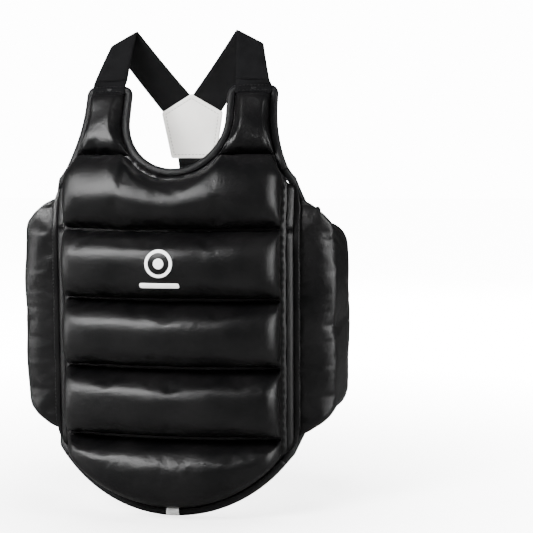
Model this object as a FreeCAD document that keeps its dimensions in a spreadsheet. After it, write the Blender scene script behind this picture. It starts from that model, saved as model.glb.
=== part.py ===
"""Padded chest protector for martial arts: quilted front, folding side wings, waist belt and X harness.

Row frame: +Z up, the chest faces -Y, +X is the wearer's left. X = 0 is the plane of symmetry and
Z = 0 is the lowest point of the bound edge. All sizes are millimetres and degrees. The left half is
drawn, and its pieces are mirrored for the right half.
"""
import FreeCAD, Part
import math
import os
import re

import Sketcher

V = FreeCAD.Vector
doc = FreeCAD.newDocument("chest_protector")

# ---------------------------------------------------------------- driving dimensions
SIZES = {
    # plan view of the lining's outer face, left half
    "front_y": -102,            # centre of the chest
    "seam_x": 152,              # front seam, where the side chamber folds
    "seam_y": -80,
    "fold_x": 177,              # second seam, between side and rear chamber
    "fold_y": 18,
    "rear_x": 155,              # rear edge of the wing
    "rear_y": 165,
    "seam_gap": 3,              # free cloth on each side of a fold
    "reach": 250,               # half the depth of the cutting shapes, more than the object's
    # layers, counted outwards from the lining's outer face
    "lining_thick": 2,
    "leather": 1.5,
    "webbing": 2,
    "binding_wide": 10,
    "binding_in": 3,
    "binding_out": 4,
    "layer_gap": 0.4,
    # chest channels: heights of their seams
    "seam_5": 4,
    "seam_4": 103,
    "seam_3": 194,
    "seam_2": 282,
    "seam_1": 371,
    "seam_0": 463,
    "tab_end": 541,
    "channel_gap": 2,
    "channel_round": 26,
    "channel_deep": 44,
    "channel_half": 139,
    "tab_round": 12,
    "tab_deep": 22,
    "field_inset": 15,
    "tab_inset": 11,
    "lean_chest": 18,
    "lean_tab": 28,
    # outline of the chest panel
    "hem_radius": 189,
    "outline_half": 172,
    "armhole_radius": 195,
    "armhole_end": 530,
    "tab_outer": 128,
    "tab_inner": 63,
    "tab_top": 553,
    "tab_corner": 12,
    "neck_level": 511,
    # side chamber: heights at the front seam and at the fold
    "side_top": 440,
    "fold_top": 362,
    "side_low": 77,
    "fold_low": 132,
    "edge_rise": 13,
    "side_deep": 46,
    "soft_round": 14,
    "pad_start": 12,
    "pad_stop": 6,
    "pad_top_front": 414,
    "pad_top_fold": 347,
    "pad_low_front": 100,
    "pad_low_fold": 148,
    "welt_start": 3.5,
    "welt_wide": 5,
    "welt_high": 8,
    # rear chamber
    "rear_top": 388,
    "rear_low": 84,
    "rear_corner": 80,
    "rear_inset": 20,
    "rear_deep": 42,
    # waist belt
    "belt_low": 211,
    "belt_wide": 60,
    "belt_drop": 12,
    "belt_corner": 12,
    "crease_x": 57,
    "crease_gap": 0.6,
    "outer_end": -74,
    "inner_end": 0,
    "anchor_long": 18,
    "turn_in": 7.5,
    "turn_past": 1,
    "turn_clear": 5,
    "patch_thick": 0.7,
    "patch_long": 62,
    "patch_inset": 4,
    "belt_half_gap": 0.8,
    # harness
    "strap_wide": 45,
    "end_clear": 1.5,           # sewn strap end above the tab's padding
    "end_past": 1,
    "strap_x": 95.5,
    "strap_start": 3,           # free webbing between the tab's top and the riser
    "strap_tuck": 2.8,            # how far the straps reach between the yoke's sheets
    "crease_in_x": 68,
    "crease_in_z": 628,
    "crease_out_x": 103,
    "crease_out_z": 609,
    "crease_y": 24,
    "yoke_wide": 84,
    "yoke_tall": 88,
    "yoke_low": 456,
    "yoke_y": 64,
    "yoke_shoulder": 63,
    "yoke_foot": 31,
    "yoke_tilt": 8,
    "yoke_sheet": 1.6,
    "yoke_space": 2.4,
    "back_start": 3.5,
    "back_long": 146,
    "back_tilt": 28.65,
    "hem_tall": 12,
    "hem_thick": 5,
    "loop_tape": 12,
    "loop_top_x": 21,
    "loop_end_x": 28,
    "loop_stop": 209.4,
    # small pieces
    "label_wide": 68,
    "label_low": 380,
    "label_tall": 56,
    "label_thick": 0.6,
    "hem_gap": 9,
    "hem_cut_low": -20,
    "hem_cut_tall": 60,
}

sheet = doc.addObject("Spreadsheet::Sheet", "sizes")
for row, (alias, value) in enumerate(SIZES.items(), start=1):
    sheet.set(f"A{row}", alias)
    sheet.set(f"B{row}", str(value))
    sheet.setAlias(f"B{row}", alias)
doc.recompute()

# lengths that several pieces share, as expressions of the cells
ARC = "((seam_x^2 + (seam_y - front_y)^2) / (2 * (seam_y - front_y)))"
SIDE = "sqrt((fold_x - seam_x)^2 + (fold_y - seam_y)^2)"
REAR = "sqrt((rear_x - fold_x)^2 + (rear_y - fold_y)^2)"


def cells(text):
    """An expression of plain aliases, written the way FreeCAD's expression engine reads it."""
    return re.sub(r"[a-z]\w*", lambda w: f"sizes.{w[0]}" if w[0] in SIZES else w[0], str(text))


def number(text):
    """The value of an expression of aliases."""
    return float(str(sheet.evalExpression(cells(text))).split()[0])


NODES = {}


def finished(label, item):
    """Gives a piece the name that its file gets."""
    item.Label = label
    NODES[label] = item
    return item


# ---------------------------------------------------------------- sketches
def draw(sketch, corners, arcs=()):
    """A closed, fully bound outline. arcs: {side: (radius, bulge)}, bulge +1 when it bows to the right
    of the direction of travel and -1 when it bows to the left; side n runs from corner n to n + 1."""
    arcs = dict(arcs)
    points = [V(number(x), number(y), 0) for x, y in corners]
    heads = []
    for side, start in enumerate(points):
        end = points[(side + 1) % len(points)]
        if side not in arcs:
            sketch.addGeometry(Part.LineSegment(start, end))
            heads.append((1, 2))
            continue
        radius, bulge = arcs[side]
        size = number(radius)
        chord = end - start
        left = V(-chord.y, chord.x, 0).normalize()
        centre = start + chord * 0.5 + left * (bulge * math.sqrt(size ** 2 - chord.Length ** 2 / 4))
        first, second = (start, end) if bulge > 0 else (end, start)
        angles = [math.atan2(spot.y - centre.y, spot.x - centre.x) for spot in (first, second)]
        if angles[1] < angles[0]:
            angles[1] += 2 * math.pi
        sketch.addGeometry(Part.ArcOfCircle(Part.Circle(centre, V(0, 0, 1), size), *angles))
        heads.append((1, 2) if bulge > 0 else (2, 1))
    for side, (x, y) in enumerate(corners):
        after = (side + 1) % len(corners)
        sketch.addConstraint(Sketcher.Constraint("Coincident", side, heads[side][1], after, heads[after][0]))
        for kind, size in (("DistanceX", x), ("DistanceY", y)):
            index = sketch.addConstraint(
                Sketcher.Constraint(kind, -1, 1, side, heads[side][0], number(size)))
            sketch.setExpression(f"Constraints[{index}]", cells(size))
    for side, (radius, _) in arcs.items():
        index = sketch.addConstraint(Sketcher.Constraint("Radius", side, number(radius)))
        sketch.setExpression(f"Constraints[{index}]", cells(radius))
    return sketch


def body_sketch(body, role, corners, arcs=()):
    """A sketch on one of the body's own origin planes."""
    sketch = body.newObject("Sketcher::SketchObject", body.Name + "_sketch")
    plane = next(item for item in body.Origin.OriginFeatures if item.Role == role)
    sketch.AttachmentSupport = [(plane, "")]
    sketch.MapMode = "FlatFace"
    return draw(sketch, corners, arcs)


def pad(body, corners, thick, arcs=(), backwards=False, role="XY_Plane"):
    """Adds a plate of the outline to the body."""
    feature = body.newObject("PartDesign::Pad", body.Name + "_pad")
    feature.Profile = body_sketch(body, role, corners, arcs)
    feature.setExpression("Length", cells(thick))
    feature.Reversed = backwards
    return feature


def flat_body(name, corners, thick, placement, arcs=(), backwards=False):
    """One outline, padded along its placement's own Z."""
    body = doc.addObject("PartDesign::Body", name)
    pad(body, corners, thick, arcs, backwards)
    body.Placement = placement
    return body


def plate(label, corners, thick, placement, arcs=(), backwards=False):
    """A flat piece with a file of its own."""
    return finished(label, flat_body(label, corners, thick, placement, arcs, backwards))


def round_front(body, level, radius):
    """Rounds the edges of the body's face at the local height level."""
    doc.recompute()
    base = body.Tip
    height = number(level)
    edges = [f"Edge{n}" for n, edge in enumerate(base.Shape.Edges, start=1)
             if all(abs(vertex.Z - height) < 1e-6 for vertex in edge.Vertexes)]
    feature = body.newObject("PartDesign::Fillet", body.Name + "_round")
    feature.Base = (base, edges)
    feature.setExpression("Radius", cells(radius))
    return feature


# ---------------------------------------------------------------- placements
def frame(base, along, up):
    """A placement whose X runs along the first direction and whose Y is as near as can be to the other."""
    x = V(along).normalize()
    z = x.cross(V(up)).normalize()
    y = z.cross(x)
    matrix = FreeCAD.Matrix(x.x, y.x, z.x, base.x, x.y, y.y, z.y, base.y, x.z, y.z, z.z, base.z, 0, 0, 0, 1)
    return FreeCAD.Placement(matrix)


SEAM = V(SIZES["seam_x"], SIZES["seam_y"], 0)
FOLD = V(SIZES["fold_x"], SIZES["fold_y"], 0)
EDGE = V(SIZES["rear_x"], SIZES["rear_y"], 0)
UP = V(0, 0, 1)


def wall(base, end, offset=0):
    """The frame of a wing panel: X along the wing, Y up, Z outwards."""
    spot = frame(base, end - base, UP)
    return FreeCAD.Placement(spot.multVec(V(0, 0, number(offset))), spot.Rotation)


def plan(base, end, low):
    """The same panel seen from above: X along the wing, Y inwards, Z up from the height low."""
    along = (end - base).normalize()
    return frame(V(base.x, base.y, number(low)), along, UP.cross(along))


# ---------------------------------------------------------------- chest: bands and chambers
ARC_CENTRE = V(0, SIZES["front_y"] + number(ARC), 0)
LEAN_END = "(tab_top + tab_deep)"
CHEST_LEAN = "((seam_0 - seam_1) * tan(lean_chest))"


def backs(low, top):
    """Heights of the chest's back line with how far each lies behind the lower chest."""
    stops = [(low, "0")]
    if number(low) < SIZES["seam_1"] < number(top):
        stops.append(("seam_1", "0"))
    if number(low) < SIZES["seam_0"] < number(top):
        stops.append(("seam_0", CHEST_LEAN))
    if number(low) > SIZES["seam_0"]:
        stops = [(low, f"({CHEST_LEAN} + (({low}) - seam_0) * tan(lean_tab))")]
    elif number(low) > SIZES["seam_1"]:
        stops[0] = (low, f"((({low}) - seam_1) * tan(lean_chest))")
    if number(top) > SIZES["seam_0"]:
        stops.append((top, f"({CHEST_LEAN} + (({top}) - seam_0) * tan(lean_tab))"))
    elif number(top) > SIZES["seam_1"]:
        stops.append((top, f"((({top}) - seam_1) * tan(lean_chest))"))
    else:
        stops.append((top, "0"))
    return stops


def revolved(label, corners, half_width, arcs=()):
    """A piece that follows the chest's curve: a section turned about the curve's upright axis."""
    body = doc.addObject("PartDesign::Body", label)
    sketch = body_sketch(body, "YZ_Plane", corners, arcs)
    feature = body.newObject("PartDesign::Revolution", label + "_turn")
    feature.Profile = sketch
    feature.ReferenceAxis = (sketch, ["V_Axis"])
    feature.setExpression("Angle", cells(f"2 * asin(({half_width}) / {ARC})"))
    feature.Midplane = True
    body.Placement = FreeCAD.Placement(ARC_CENTRE, FreeCAD.Rotation())
    return body


def band(label, inner, outer, low="-binding_wide", top=LEAN_END, half_width="seam_x - seam_gap"):
    """A layer of the chest between two depths, such as the lining."""
    stops = backs(low, top)
    front = [(f"-{ARC} - ({outer}) + {back}", level) for level, back in stops]
    rear = [(f"-{ARC} - ({inner}) + {back}", level) for level, back in reversed(stops)]
    return revolved(label, front + rear, half_width)


def chamber(label, low, top, lean, start, deep, curve, skin="0"):
    """A padded channel's section between two seams, less a skin: flat back, rounded front corners."""
    length = f"((({top}) - ({low})) / cos({lean}))"
    near = f"(channel_gap + {skin})"
    far = f"({length} - channel_gap - {skin})"
    depth = f"({deep} - {skin})"
    turn = f"({curve} - {skin})"

    def spot(along, out):
        return (f"-{ARC} + {start} + ({along}) * sin({lean}) - ({out}) * cos({lean})",
                f"({low}) + ({along}) * cos({lean}) + ({out}) * sin({lean})")

    corners = [spot(near, "0"), spot(far, "0"), spot(far, f"{depth} - {turn}"),
               spot(f"{far} - {turn}", depth), spot(f"{near} + {turn}", depth),
               spot(near, f"{depth} - {turn}")]
    return revolved(label, corners, f"channel_half - {skin}", {2: (turn, 1), 4: (turn, 1)})


def prism(label, inset):
    """The chest's front outline, less an inset, carried through the whole depth."""
    base = outline
    if inset:
        base = doc.addObject("Part::Offset2D", label + "_offset")
        base.Source = outline
        base.Join = 0
        base.setExpression("Value", cells(f"-({inset})"))
    solid = doc.addObject("Part::Extrusion", label)
    solid.Base = base
    solid.DirMode = "Custom"
    solid.Dir = V(0, 1, 0)
    solid.setExpression("LengthFwd", cells("reach"))
    solid.setExpression("LengthRev", cells("reach"))
    solid.Solid = True
    return solid


def common(label, *shapes):
    item = doc.addObject("Part::MultiCommon", label)
    item.Shapes = list(shapes)
    return item


def fused(label, *shapes):
    item = doc.addObject("Part::MultiFuse", label)
    item.Shapes = list(shapes)
    return item


def cut(label, base, tool):
    item = doc.addObject("Part::Cut", label)
    item.Base = base
    item.Tool = tool
    return item


def block(label, x, low, width, tall):
    """An upright block through the whole depth, centred on x."""
    box = doc.addObject("Part::Box", label)
    box.setExpression("Length", cells(width))
    box.setExpression("Height", cells(tall))
    box.setExpression("Width", cells("2 * reach"))
    corner = V(number(f"{x} - ({width}) / 2"), -SIZES["reach"], number(low))
    box.Placement = FreeCAD.Placement(corner, FreeCAD.Rotation())
    return box


def reflection(name, source):
    """A shape reflected in the plane X = 0."""
    twin = doc.addObject("Part::Mirroring", name)
    twin.Source = source
    twin.Normal = V(1, 0, 0)
    return twin


def mirrored(label, source):
    """The right-hand twin of a left-hand piece."""
    return finished(label, reflection(label, source))


hem_level = "(hem_radius - sqrt(hem_radius^2 - outline_half^2))"
armhole_level = "(armhole_end - sqrt(armhole_radius^2 - (tab_outer + armhole_radius - outline_half)^2))"
half = [("outline_half", hem_level), ("outline_half", armhole_level), ("tab_outer", "armhole_end"),
        ("tab_outer", "tab_top - tab_corner"), ("tab_outer - tab_corner", "tab_top"),
        ("tab_inner + tab_corner", "tab_top"), ("tab_inner", "tab_top - tab_corner"),
        ("tab_inner", "neck_level")]
outline = doc.addObject("Sketcher::SketchObject", "chest_outline")
outline.Placement = FreeCAD.Placement(V(0, 0, 0), FreeCAD.Rotation(V(1, 0, 0), 90))
draw(outline, [("0", "0")] + half + [("0", "neck_level - tab_inner")]
     + [(f"-({x})", z) for x, z in reversed(half)],
     {0: ("hem_radius", 1), 2: ("armhole_radius", -1), 4: ("tab_corner", 1), 6: ("tab_corner", 1),
      8: ("tab_inner", -1), 9: ("tab_inner", -1), 11: ("tab_corner", 1), 13: ("tab_corner", 1),
      15: ("armhole_radius", -1), 17: ("hem_radius", 1)})

whole = prism("whole_outline", "")
bound = prism("bound_outline", "binding_wide")
ring = cut("edge_ring", whole, bound)
field = prism("field_outline", "field_inset")
field_core = prism("field_core_outline", "field_inset + leather")
tab_field = prism("tab_outline", "tab_inset")
tab_core = prism("tab_core_outline", "tab_inset + leather")

finished("chest_lining", common("chest_lining", bound, band("lining_band", "-lining_thick", "0")))
finished("neck_binding", common("neck_binding", ring,
                                band("upper_edge", "-binding_in", "binding_out", low="seam_2")))
hem_edge = common("hem_edge", ring, band("lower_edge", "-binding_in", "binding_out", top="seam_3"))
hem_cut = block("hem_cut", "0", "hem_cut_low", "2 * hem_gap", "hem_cut_tall")
finished("hem_binding", cut("hem_binding", hem_edge, hem_cut))
finished("hem_tab", common("hem_tab", ring,
                           band("hem_tab_band", "-lining_thick", "binding_out - layer_gap", top="seam_3"),
                           block("hem_tab_cut", "0", "hem_cut_low", "2 * (hem_gap - layer_gap)",
                                 "hem_cut_tall")))
finished("care_label", common("care_label", block("label_cut", "0", "label_low", "label_wide", "label_tall"),
                              band("label_band", "-lining_thick - layer_gap - label_thick",
                                   "-lining_thick - layer_gap")))

# five channels and two tabs: foam cores inside one quilted cover
LEVELS = [("1", "seam_1", "seam_0", "lean_chest", "0"), ("2", "seam_2", "seam_1", "0", "0"),
          ("3", "seam_3", "seam_2", "0", "0"), ("4", "seam_4", "seam_3", "0", "0"),
          ("5", "seam_5", "seam_4", "0", "0")]
shells = [common("cover_flange", bound, band("flange_band", "0", "leather"))]
cores = []
for number_of, low, top, lean, start in LEVELS:
    shell = chamber("shell_" + number_of, low, top, lean, start, "channel_deep", "channel_round")
    core = chamber("core_" + number_of, low, top, lean, start, "channel_deep", "channel_round", "leather")
    if number_of in "15":
        shell = common("shell_cut_" + number_of, shell, field)
        core = common("foam_channel_" + number_of, core, field_core)
    shells.append(shell)
    cores.append(finished("foam_channel_" + number_of, core))
tab_rule = ("seam_0", "tab_end", "lean_tab", CHEST_LEAN, "tab_deep", "tab_round")
tab_side = block("left_half", "reach / 2", "seam_1", "reach", "reach")
tab_shell = common("tab_shell", chamber("tab_shell_turn", *tab_rule), tab_field, tab_side)
tab_foam = common("left_tab_foam", chamber("tab_core_turn", *tab_rule, "leather"), tab_core, tab_side)
finished("left_tab_foam", tab_foam)
shells += [tab_shell, reflection("right_tab_shell", tab_shell)]
cores += [tab_foam, mirrored("right_tab_foam", tab_foam)]
finished("front_cover", cut("front_cover", fused("cover_outer", *shells), fused("cover_hollow", *cores)))

strap_end = common("left_strap_end",
                   band("strap_end_band", "binding_out + layer_gap", "binding_out + layer_gap + webbing",
                        low="tab_end + end_clear", top="tab_top + end_past"),
                   block("strap_end_cut", "strap_x", "seam_0", "strap_wide", "reach"))
finished("left_strap_end", strap_end)
mirrored("right_strap_end", strap_end)


# ---------------------------------------------------------------- wings
def slope(at_start, at_end, length):
    """The height of a straight edge at a distance along the panel."""
    return lambda along: f"({at_start} + ({at_end} - {at_start}) * ({along}) / {length})"


def soft_pad(label_cover, label_foam, flange, shape, arcs, inner_shape, inner_arcs, deep, placement):
    """A padded chamber: a leather cover with a flange, hollowed by its foam core."""
    foam = doc.addObject("PartDesign::Body", label_foam)
    pad(foam, inner_shape, f"{deep} - leather", inner_arcs)
    round_front(foam, f"{deep} - leather", "soft_round - leather")
    foam.Placement = placement
    finished(label_foam, foam)
    outer = doc.addObject("PartDesign::Body", label_cover + "_outer")
    pad(outer, shape, deep, arcs)
    round_front(outer, deep, "soft_round")
    outer.Placement = placement
    skirt = doc.addObject("PartDesign::Body", label_cover + "_flange")
    pad(skirt, flange[0], "leather", flange[1])
    skirt.Placement = placement
    finished(label_cover, cut(label_cover, fused(label_cover + "_all", skirt, outer), foam))


NEAR = "seam_gap"
side_far = f"({SIDE} - seam_gap)"
top_edge = slope("side_top", "fold_top", SIDE)
low_edge = slope("side_low", "fold_low", SIDE)
top_inner = slope("(side_top - edge_rise)", "(fold_top - edge_rise)", SIDE)
low_inner = slope("(side_low + edge_rise)", "(fold_low + edge_rise)", SIDE)


def strip(lower, upper, start, stop):
    """Four corners between two sloping edges."""
    return [(start, lower(start)), (stop, lower(stop)), (stop, upper(stop)), (start, upper(start))]


side_wall = wall(SEAM, FOLD)
side_inside = wall(SEAM, FOLD, "-binding_in")
plate("left_side_top_binding", strip(top_inner, top_edge, NEAR, side_far), "binding_in + binding_out",
      side_inside)
plate("left_side_low_binding", strip(low_edge, low_inner, NEAR, side_far), "binding_in + binding_out",
      side_inside)
side_field = strip(low_inner, top_inner, NEAR, side_far)
plate("left_side_lining", side_field, "lining_thick", side_wall, backwards=True)
pad_top = slope("pad_top_front", "pad_top_fold", SIDE)
pad_low = slope("pad_low_front", "pad_low_fold", SIDE)
core_top = slope("(pad_top_front - 2 * leather)", "(pad_top_fold - 2 * leather)", SIDE)
core_low = slope("(pad_low_front + 2 * leather)", "(pad_low_fold + 2 * leather)", SIDE)
soft_pad("left_side_cover", "left_side_foam", (side_field, ()),
         strip(pad_low, pad_top, "pad_start", f"{SIDE} - pad_stop"), (),
         strip(core_low, core_top, "pad_start + leather", f"{SIDE} - pad_stop - leather"), (),
         "side_deep", side_wall)


def welt(label, base, end, low, top):
    """The stitched ridge of cloth that stands along a fold."""
    shape = [("welt_start", low), ("welt_start + welt_wide", low), ("welt_start + welt_wide", top),
             ("welt_start", top)]
    plate(label, shape, "welt_high", wall(base, end, "leather + 0.1"))


welt("left_front_welt", SEAM, FOLD, "pad_low_front", "pad_top_front")
welt("left_rear_welt", FOLD, EDGE, "pad_low_fold + 10", "pad_top_fold - 4")


def rear_path(inset, start, top_start, low_start):
    """The rear panel's rounded outline, less an inset, from its upper fold corner round to its lower one."""
    turn = f"({REAR} - rear_corner)"
    far = f"({REAR} - ({inset}))"
    corners = [(start, top_start), (turn, f"rear_top - ({inset})"), (far, "rear_top - rear_corner"),
               (far, "rear_low + rear_corner"), (turn, f"rear_low + {inset}"), (start, low_start)]
    radius = f"(rear_corner - ({inset}))"
    return corners, {1: (radius, -1), 3: (radius, -1)}


rear_wall = wall(FOLD, EDGE)
rear_outer, rear_arcs = rear_path("0", NEAR, "fold_top", "fold_low")
rear_field, field_arcs = rear_path("binding_wide", NEAR, "fold_top - binding_wide",
                                   "fold_low + binding_wide")
ring_arcs = dict(rear_arcs)
last = len(rear_outer) + len(rear_field) - 1
for side_index, (radius, bulge) in field_arcs.items():
    ring_arcs[last - side_index - 1] = (radius, -bulge)
plate("left_rear_binding", rear_outer + rear_field[::-1], "binding_in + binding_out",
      wall(FOLD, EDGE, "-binding_in"), ring_arcs)
plate("left_rear_lining", rear_field, "lining_thick", rear_wall, field_arcs, backwards=True)
pad_shape, pad_arcs = rear_path("rear_inset", "pad_start", "pad_top_fold", "pad_low_fold")
core_shape, core_arcs = rear_path("rear_inset + leather", "pad_start + leather", "pad_top_fold - leather",
                                  "pad_low_fold + leather")
soft_pad("left_rear_cover", "left_rear_foam", (rear_field, field_arcs), pad_shape, pad_arcs,
         core_shape, core_arcs, "rear_deep", rear_wall)

for name in [label for label in NODES if label.startswith(("left_side_", "left_rear_", "left_front_"))]:
    mirrored(name.replace("left_", "right_"), NODES[name])

# ---------------------------------------------------------------- waist belt
out_face = "(binding_out + layer_gap)"
in_face = "(binding_in + layer_gap)"
# the left anchor wraps the wing's rear edge: plan outline, Y counted inwards
wrap = [(f"{REAR} - anchor_long", f"-{out_face}"), (f"{REAR} - anchor_long", f"-{out_face} - webbing"),
        (f"{REAR} + layer_gap + webbing", f"-{out_face} - webbing"),
        (f"{REAR} + layer_gap + webbing", f"{in_face} + webbing"),
        (f"{REAR} - anchor_long / 2", f"{in_face} + webbing"), (f"{REAR} - anchor_long / 2", in_face),
        (f"{REAR} + layer_gap", in_face), (f"{REAR} + layer_gap", f"-{out_face}")]
plate("left_belt_anchor", wrap, "belt_wide", plan(FOLD, EDGE, "belt_low"))
# the right anchor is sewn flat inside the wing
flat = [(f"{REAR} - 2 * anchor_long", in_face), (f"{REAR} + turn_past", in_face),
        (f"{REAR} + turn_past", f"{in_face} + webbing"),
        (f"{REAR} - 2 * anchor_long", f"{in_face} + webbing")]
mirrored("right_belt_anchor",
         flat_body("inner_anchor", flat, "belt_wide", plan(FOLD, EDGE, "belt_low - belt_drop")))

TURN = rear_wall.multVec(V(number(f"{REAR} + turn_past"), 0, -SIZES["turn_in"]))


def belt_strip(label, start, stop, low, depth, thick, round_start=False, tall="belt_wide"):
    """A length of the belt from one X to another, standing across the back at the given depth."""
    corners = [(start, low), (stop, low), (stop, f"{low} + {tall}"), (start, f"{low} + {tall}")]
    arcs = {}
    if round_start:
        corners = [(f"{stop} - belt_corner", low), (stop, f"{low} + belt_corner"),
                   (stop, f"{low} + {tall} - belt_corner"), (f"{stop} - belt_corner", f"{low} + {tall}"),
                   (start, f"{low} + {tall}"), (start, low)]
        arcs = {0: ("belt_corner", 1), 2: ("belt_corner", 1)}
    spot = frame(V(0, TURN.y + number(depth), 0), V(1, 0, 0), UP)
    return plate(label, corners, thick, spot, arcs)


root_x = str(TURN.x - SIZES["turn_clear"])
outer_face = "belt_half_gap + webbing"
belt_strip("left_belt", "crease_x + crease_gap", root_x, "belt_low", outer_face, "webbing")
belt_strip("left_belt_tail", "outer_end", "crease_x - crease_gap", "belt_low", outer_face, "webbing")
belt_strip("hook_patch", "outer_end + patch_inset", "outer_end + patch_inset + patch_long",
           "belt_low + patch_inset", "belt_half_gap", "patch_thick", tall="(belt_wide - 2 * patch_inset)")
belt_strip("right_belt", f"-{root_x}", "inner_end", "(belt_low - belt_drop)", "-belt_half_gap", "webbing",
           round_start=True)
belt_strip("loop_patch", "inner_end - patch_inset - patch_long", "inner_end - patch_inset",
           "(belt_low - belt_drop + patch_inset)", "-belt_half_gap + patch_thick", "patch_thick",
           round_start=True, tall="(belt_wide - 2 * patch_inset)")


# ---------------------------------------------------------------- harness
def slab(corners, thick):
    """A flat ribbon through the corners, thickened half to each side."""
    normal = (corners[1] - corners[0]).cross(corners[2] - corners[0]).normalize()
    face = Part.Face(Part.makePolygon(corners + corners[:1]))
    face.translate(normal * (-thick / 2))
    return face.extrude(normal * thick)


tab_y = (ARC_CENTRE.y - math.sqrt(number(ARC) ** 2 - SIZES["strap_x"] ** 2)
         + number(f"{CHEST_LEAN} + (tab_top - seam_0) * tan(lean_tab)")
         - number("binding_out + layer_gap + webbing / 2"))
strap_half = SIZES["strap_wide"] / 2
crease_in = V(SIZES["crease_in_x"], SIZES["crease_y"], SIZES["crease_in_z"])
crease_out = V(SIZES["crease_out_x"], SIZES["crease_y"], SIZES["crease_out_z"])
start_z = number("tab_top + strap_start")
riser_in = V(SIZES["strap_x"] - strap_half, tab_y, start_z)
riser_out = V(SIZES["strap_x"] + strap_half, tab_y, start_z)
yoke_angle = math.radians(SIZES["yoke_tilt"])
yoke_frame = frame(V(0, SIZES["yoke_y"], SIZES["yoke_low"]), V(-1, 0, 0),
                   V(0, -math.sin(yoke_angle), math.cos(yoke_angle)))
# the strap meets the yoke's sloping upper side square on, so its two edges end on that side's line
side_start = V(-SIZES["yoke_wide"] / 2, SIZES["yoke_shoulder"], 0)
side_end = V(0, SIZES["yoke_tall"], 0)
side_run = (side_end - side_start).normalize()
side_mid = (side_start + side_end) * 0.5
tuck = V(side_run.y, -side_run.x, 0) * SIZES["strap_tuck"]
rear_out = yoke_frame.multVec(side_mid - side_run * strap_half + tuck)
rear_in = yoke_frame.multVec(side_mid + side_run * strap_half + tuck)
webbing = SIZES["webbing"]
riser = slab([riser_in, riser_out, crease_out], webbing)
riser = riser.fuse(slab([riser_in, crease_out, crease_in], webbing))
runner = slab([crease_in, crease_out, rear_out], webbing).fuse(slab([crease_in, rear_out, rear_in], webbing))
left_strap = doc.addObject("Part::Feature", "left_strap")
left_strap.Shape = riser.fuse(runner).removeSplitter()
finished("left_strap", left_strap)
mirrored("right_strap", left_strap)

pentagon = [("-yoke_foot", "0"), ("yoke_foot", "0"), ("yoke_wide / 2", "yoke_shoulder"), ("0", "yoke_tall"),
            ("-yoke_wide / 2", "yoke_shoulder")]


def shifted(placement, out):
    """The same frame, moved along its own Z."""
    return FreeCAD.Placement(placement.multVec(V(0, 0, number(out))), placement.Rotation)


plate("yoke_outer", pentagon, "yoke_sheet", shifted(yoke_frame, "yoke_space / 2"))
plate("yoke_inner", pentagon, "yoke_sheet", shifted(yoke_frame, "-yoke_space / 2 - yoke_sheet"))

back_angle = math.radians(SIZES["back_tilt"])
back_frame = frame(V(0, SIZES["yoke_y"], SIZES["yoke_low"]), V(1, 0, 0),
                   V(0, math.sin(back_angle), -math.cos(back_angle)))
back_body = doc.addObject("PartDesign::Body", "back_strap")
half_wide = "strap_wide / 2"
pad(back_body, [(f"-{half_wide}", "back_start"), (half_wide, "back_start"), (half_wide, "back_long"),
                (f"-{half_wide}", "back_long")], "webbing")
pad(back_body, [(f"-{half_wide}", "back_long - hem_tall"), (half_wide, "back_long - hem_tall"),
                (half_wide, "back_long"), (f"-{half_wide}", "back_long")], "hem_thick")
back_body.Placement = shifted(back_frame, "-webbing / 2")
finished("back_strap", back_body)

tape = "loop_tape / 2"
leg = [("loop_top_x - loop_tape", "back_long + layer_gap"), ("loop_top_x", "back_long + layer_gap"),
       ("loop_end_x", "loop_stop"), ("loop_end_x - loop_tape", "loop_stop")]
plate("left_loop_leg", leg, "webbing", shifted(back_frame, "-webbing / 2"))
mirrored("right_loop_leg", NODES["left_loop_leg"])

# ---------------------------------------------------------------- check and write
doc.recompute()
for item in doc.Objects:
    if "Invalid" in item.State or "Error" in item.State:
        raise RuntimeError(f"{item.Name} failed: {item.State}")
os.makedirs("parts", exist_ok=True)
for label, item in NODES.items():
    shape = item.Shape
    if shape.isNull() or not shape.isValid() or not shape.Solids:
        raise RuntimeError(f"{label} has no valid solid")
    shape.exportStep(f"parts/{label}.step")
    box = shape.BoundBox
    print(f"{label:24s} solids {len(shape.Solids)} volume {shape.Volume / 1000:8.2f} cm3 "
          f"x {box.XMin:7.1f} {box.XMax:7.1f} y {box.YMin:7.1f} {box.YMax:7.1f} "
          f"z {box.ZMin:6.1f} {box.ZMax:6.1f}")
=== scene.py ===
"""The chest protector's looks: quilted leather, linings, binding, webbing, light and camera.

Lengths in this file are millimetres in the row frame and become metres when a mesh is made.
"""

import math

import bpy
import numpy as np
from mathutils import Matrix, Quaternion, Vector, geometry
from mathutils.bvhtree import BVHTree


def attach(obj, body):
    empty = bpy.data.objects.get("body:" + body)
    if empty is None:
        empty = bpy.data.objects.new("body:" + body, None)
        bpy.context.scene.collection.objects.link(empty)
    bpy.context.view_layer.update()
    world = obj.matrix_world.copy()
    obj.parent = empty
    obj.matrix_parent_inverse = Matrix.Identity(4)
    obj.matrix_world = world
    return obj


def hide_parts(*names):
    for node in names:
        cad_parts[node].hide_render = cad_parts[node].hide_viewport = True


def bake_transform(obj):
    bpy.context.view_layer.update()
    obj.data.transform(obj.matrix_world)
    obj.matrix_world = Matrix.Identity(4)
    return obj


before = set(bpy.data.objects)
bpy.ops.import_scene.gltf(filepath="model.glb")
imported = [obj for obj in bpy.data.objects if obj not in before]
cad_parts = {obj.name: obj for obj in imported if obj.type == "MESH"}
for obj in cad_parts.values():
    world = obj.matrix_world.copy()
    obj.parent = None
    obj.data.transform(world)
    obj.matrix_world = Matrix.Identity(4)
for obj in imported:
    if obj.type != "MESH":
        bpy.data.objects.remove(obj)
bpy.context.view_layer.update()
scene = bpy.context.scene
MM = 0.001

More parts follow.
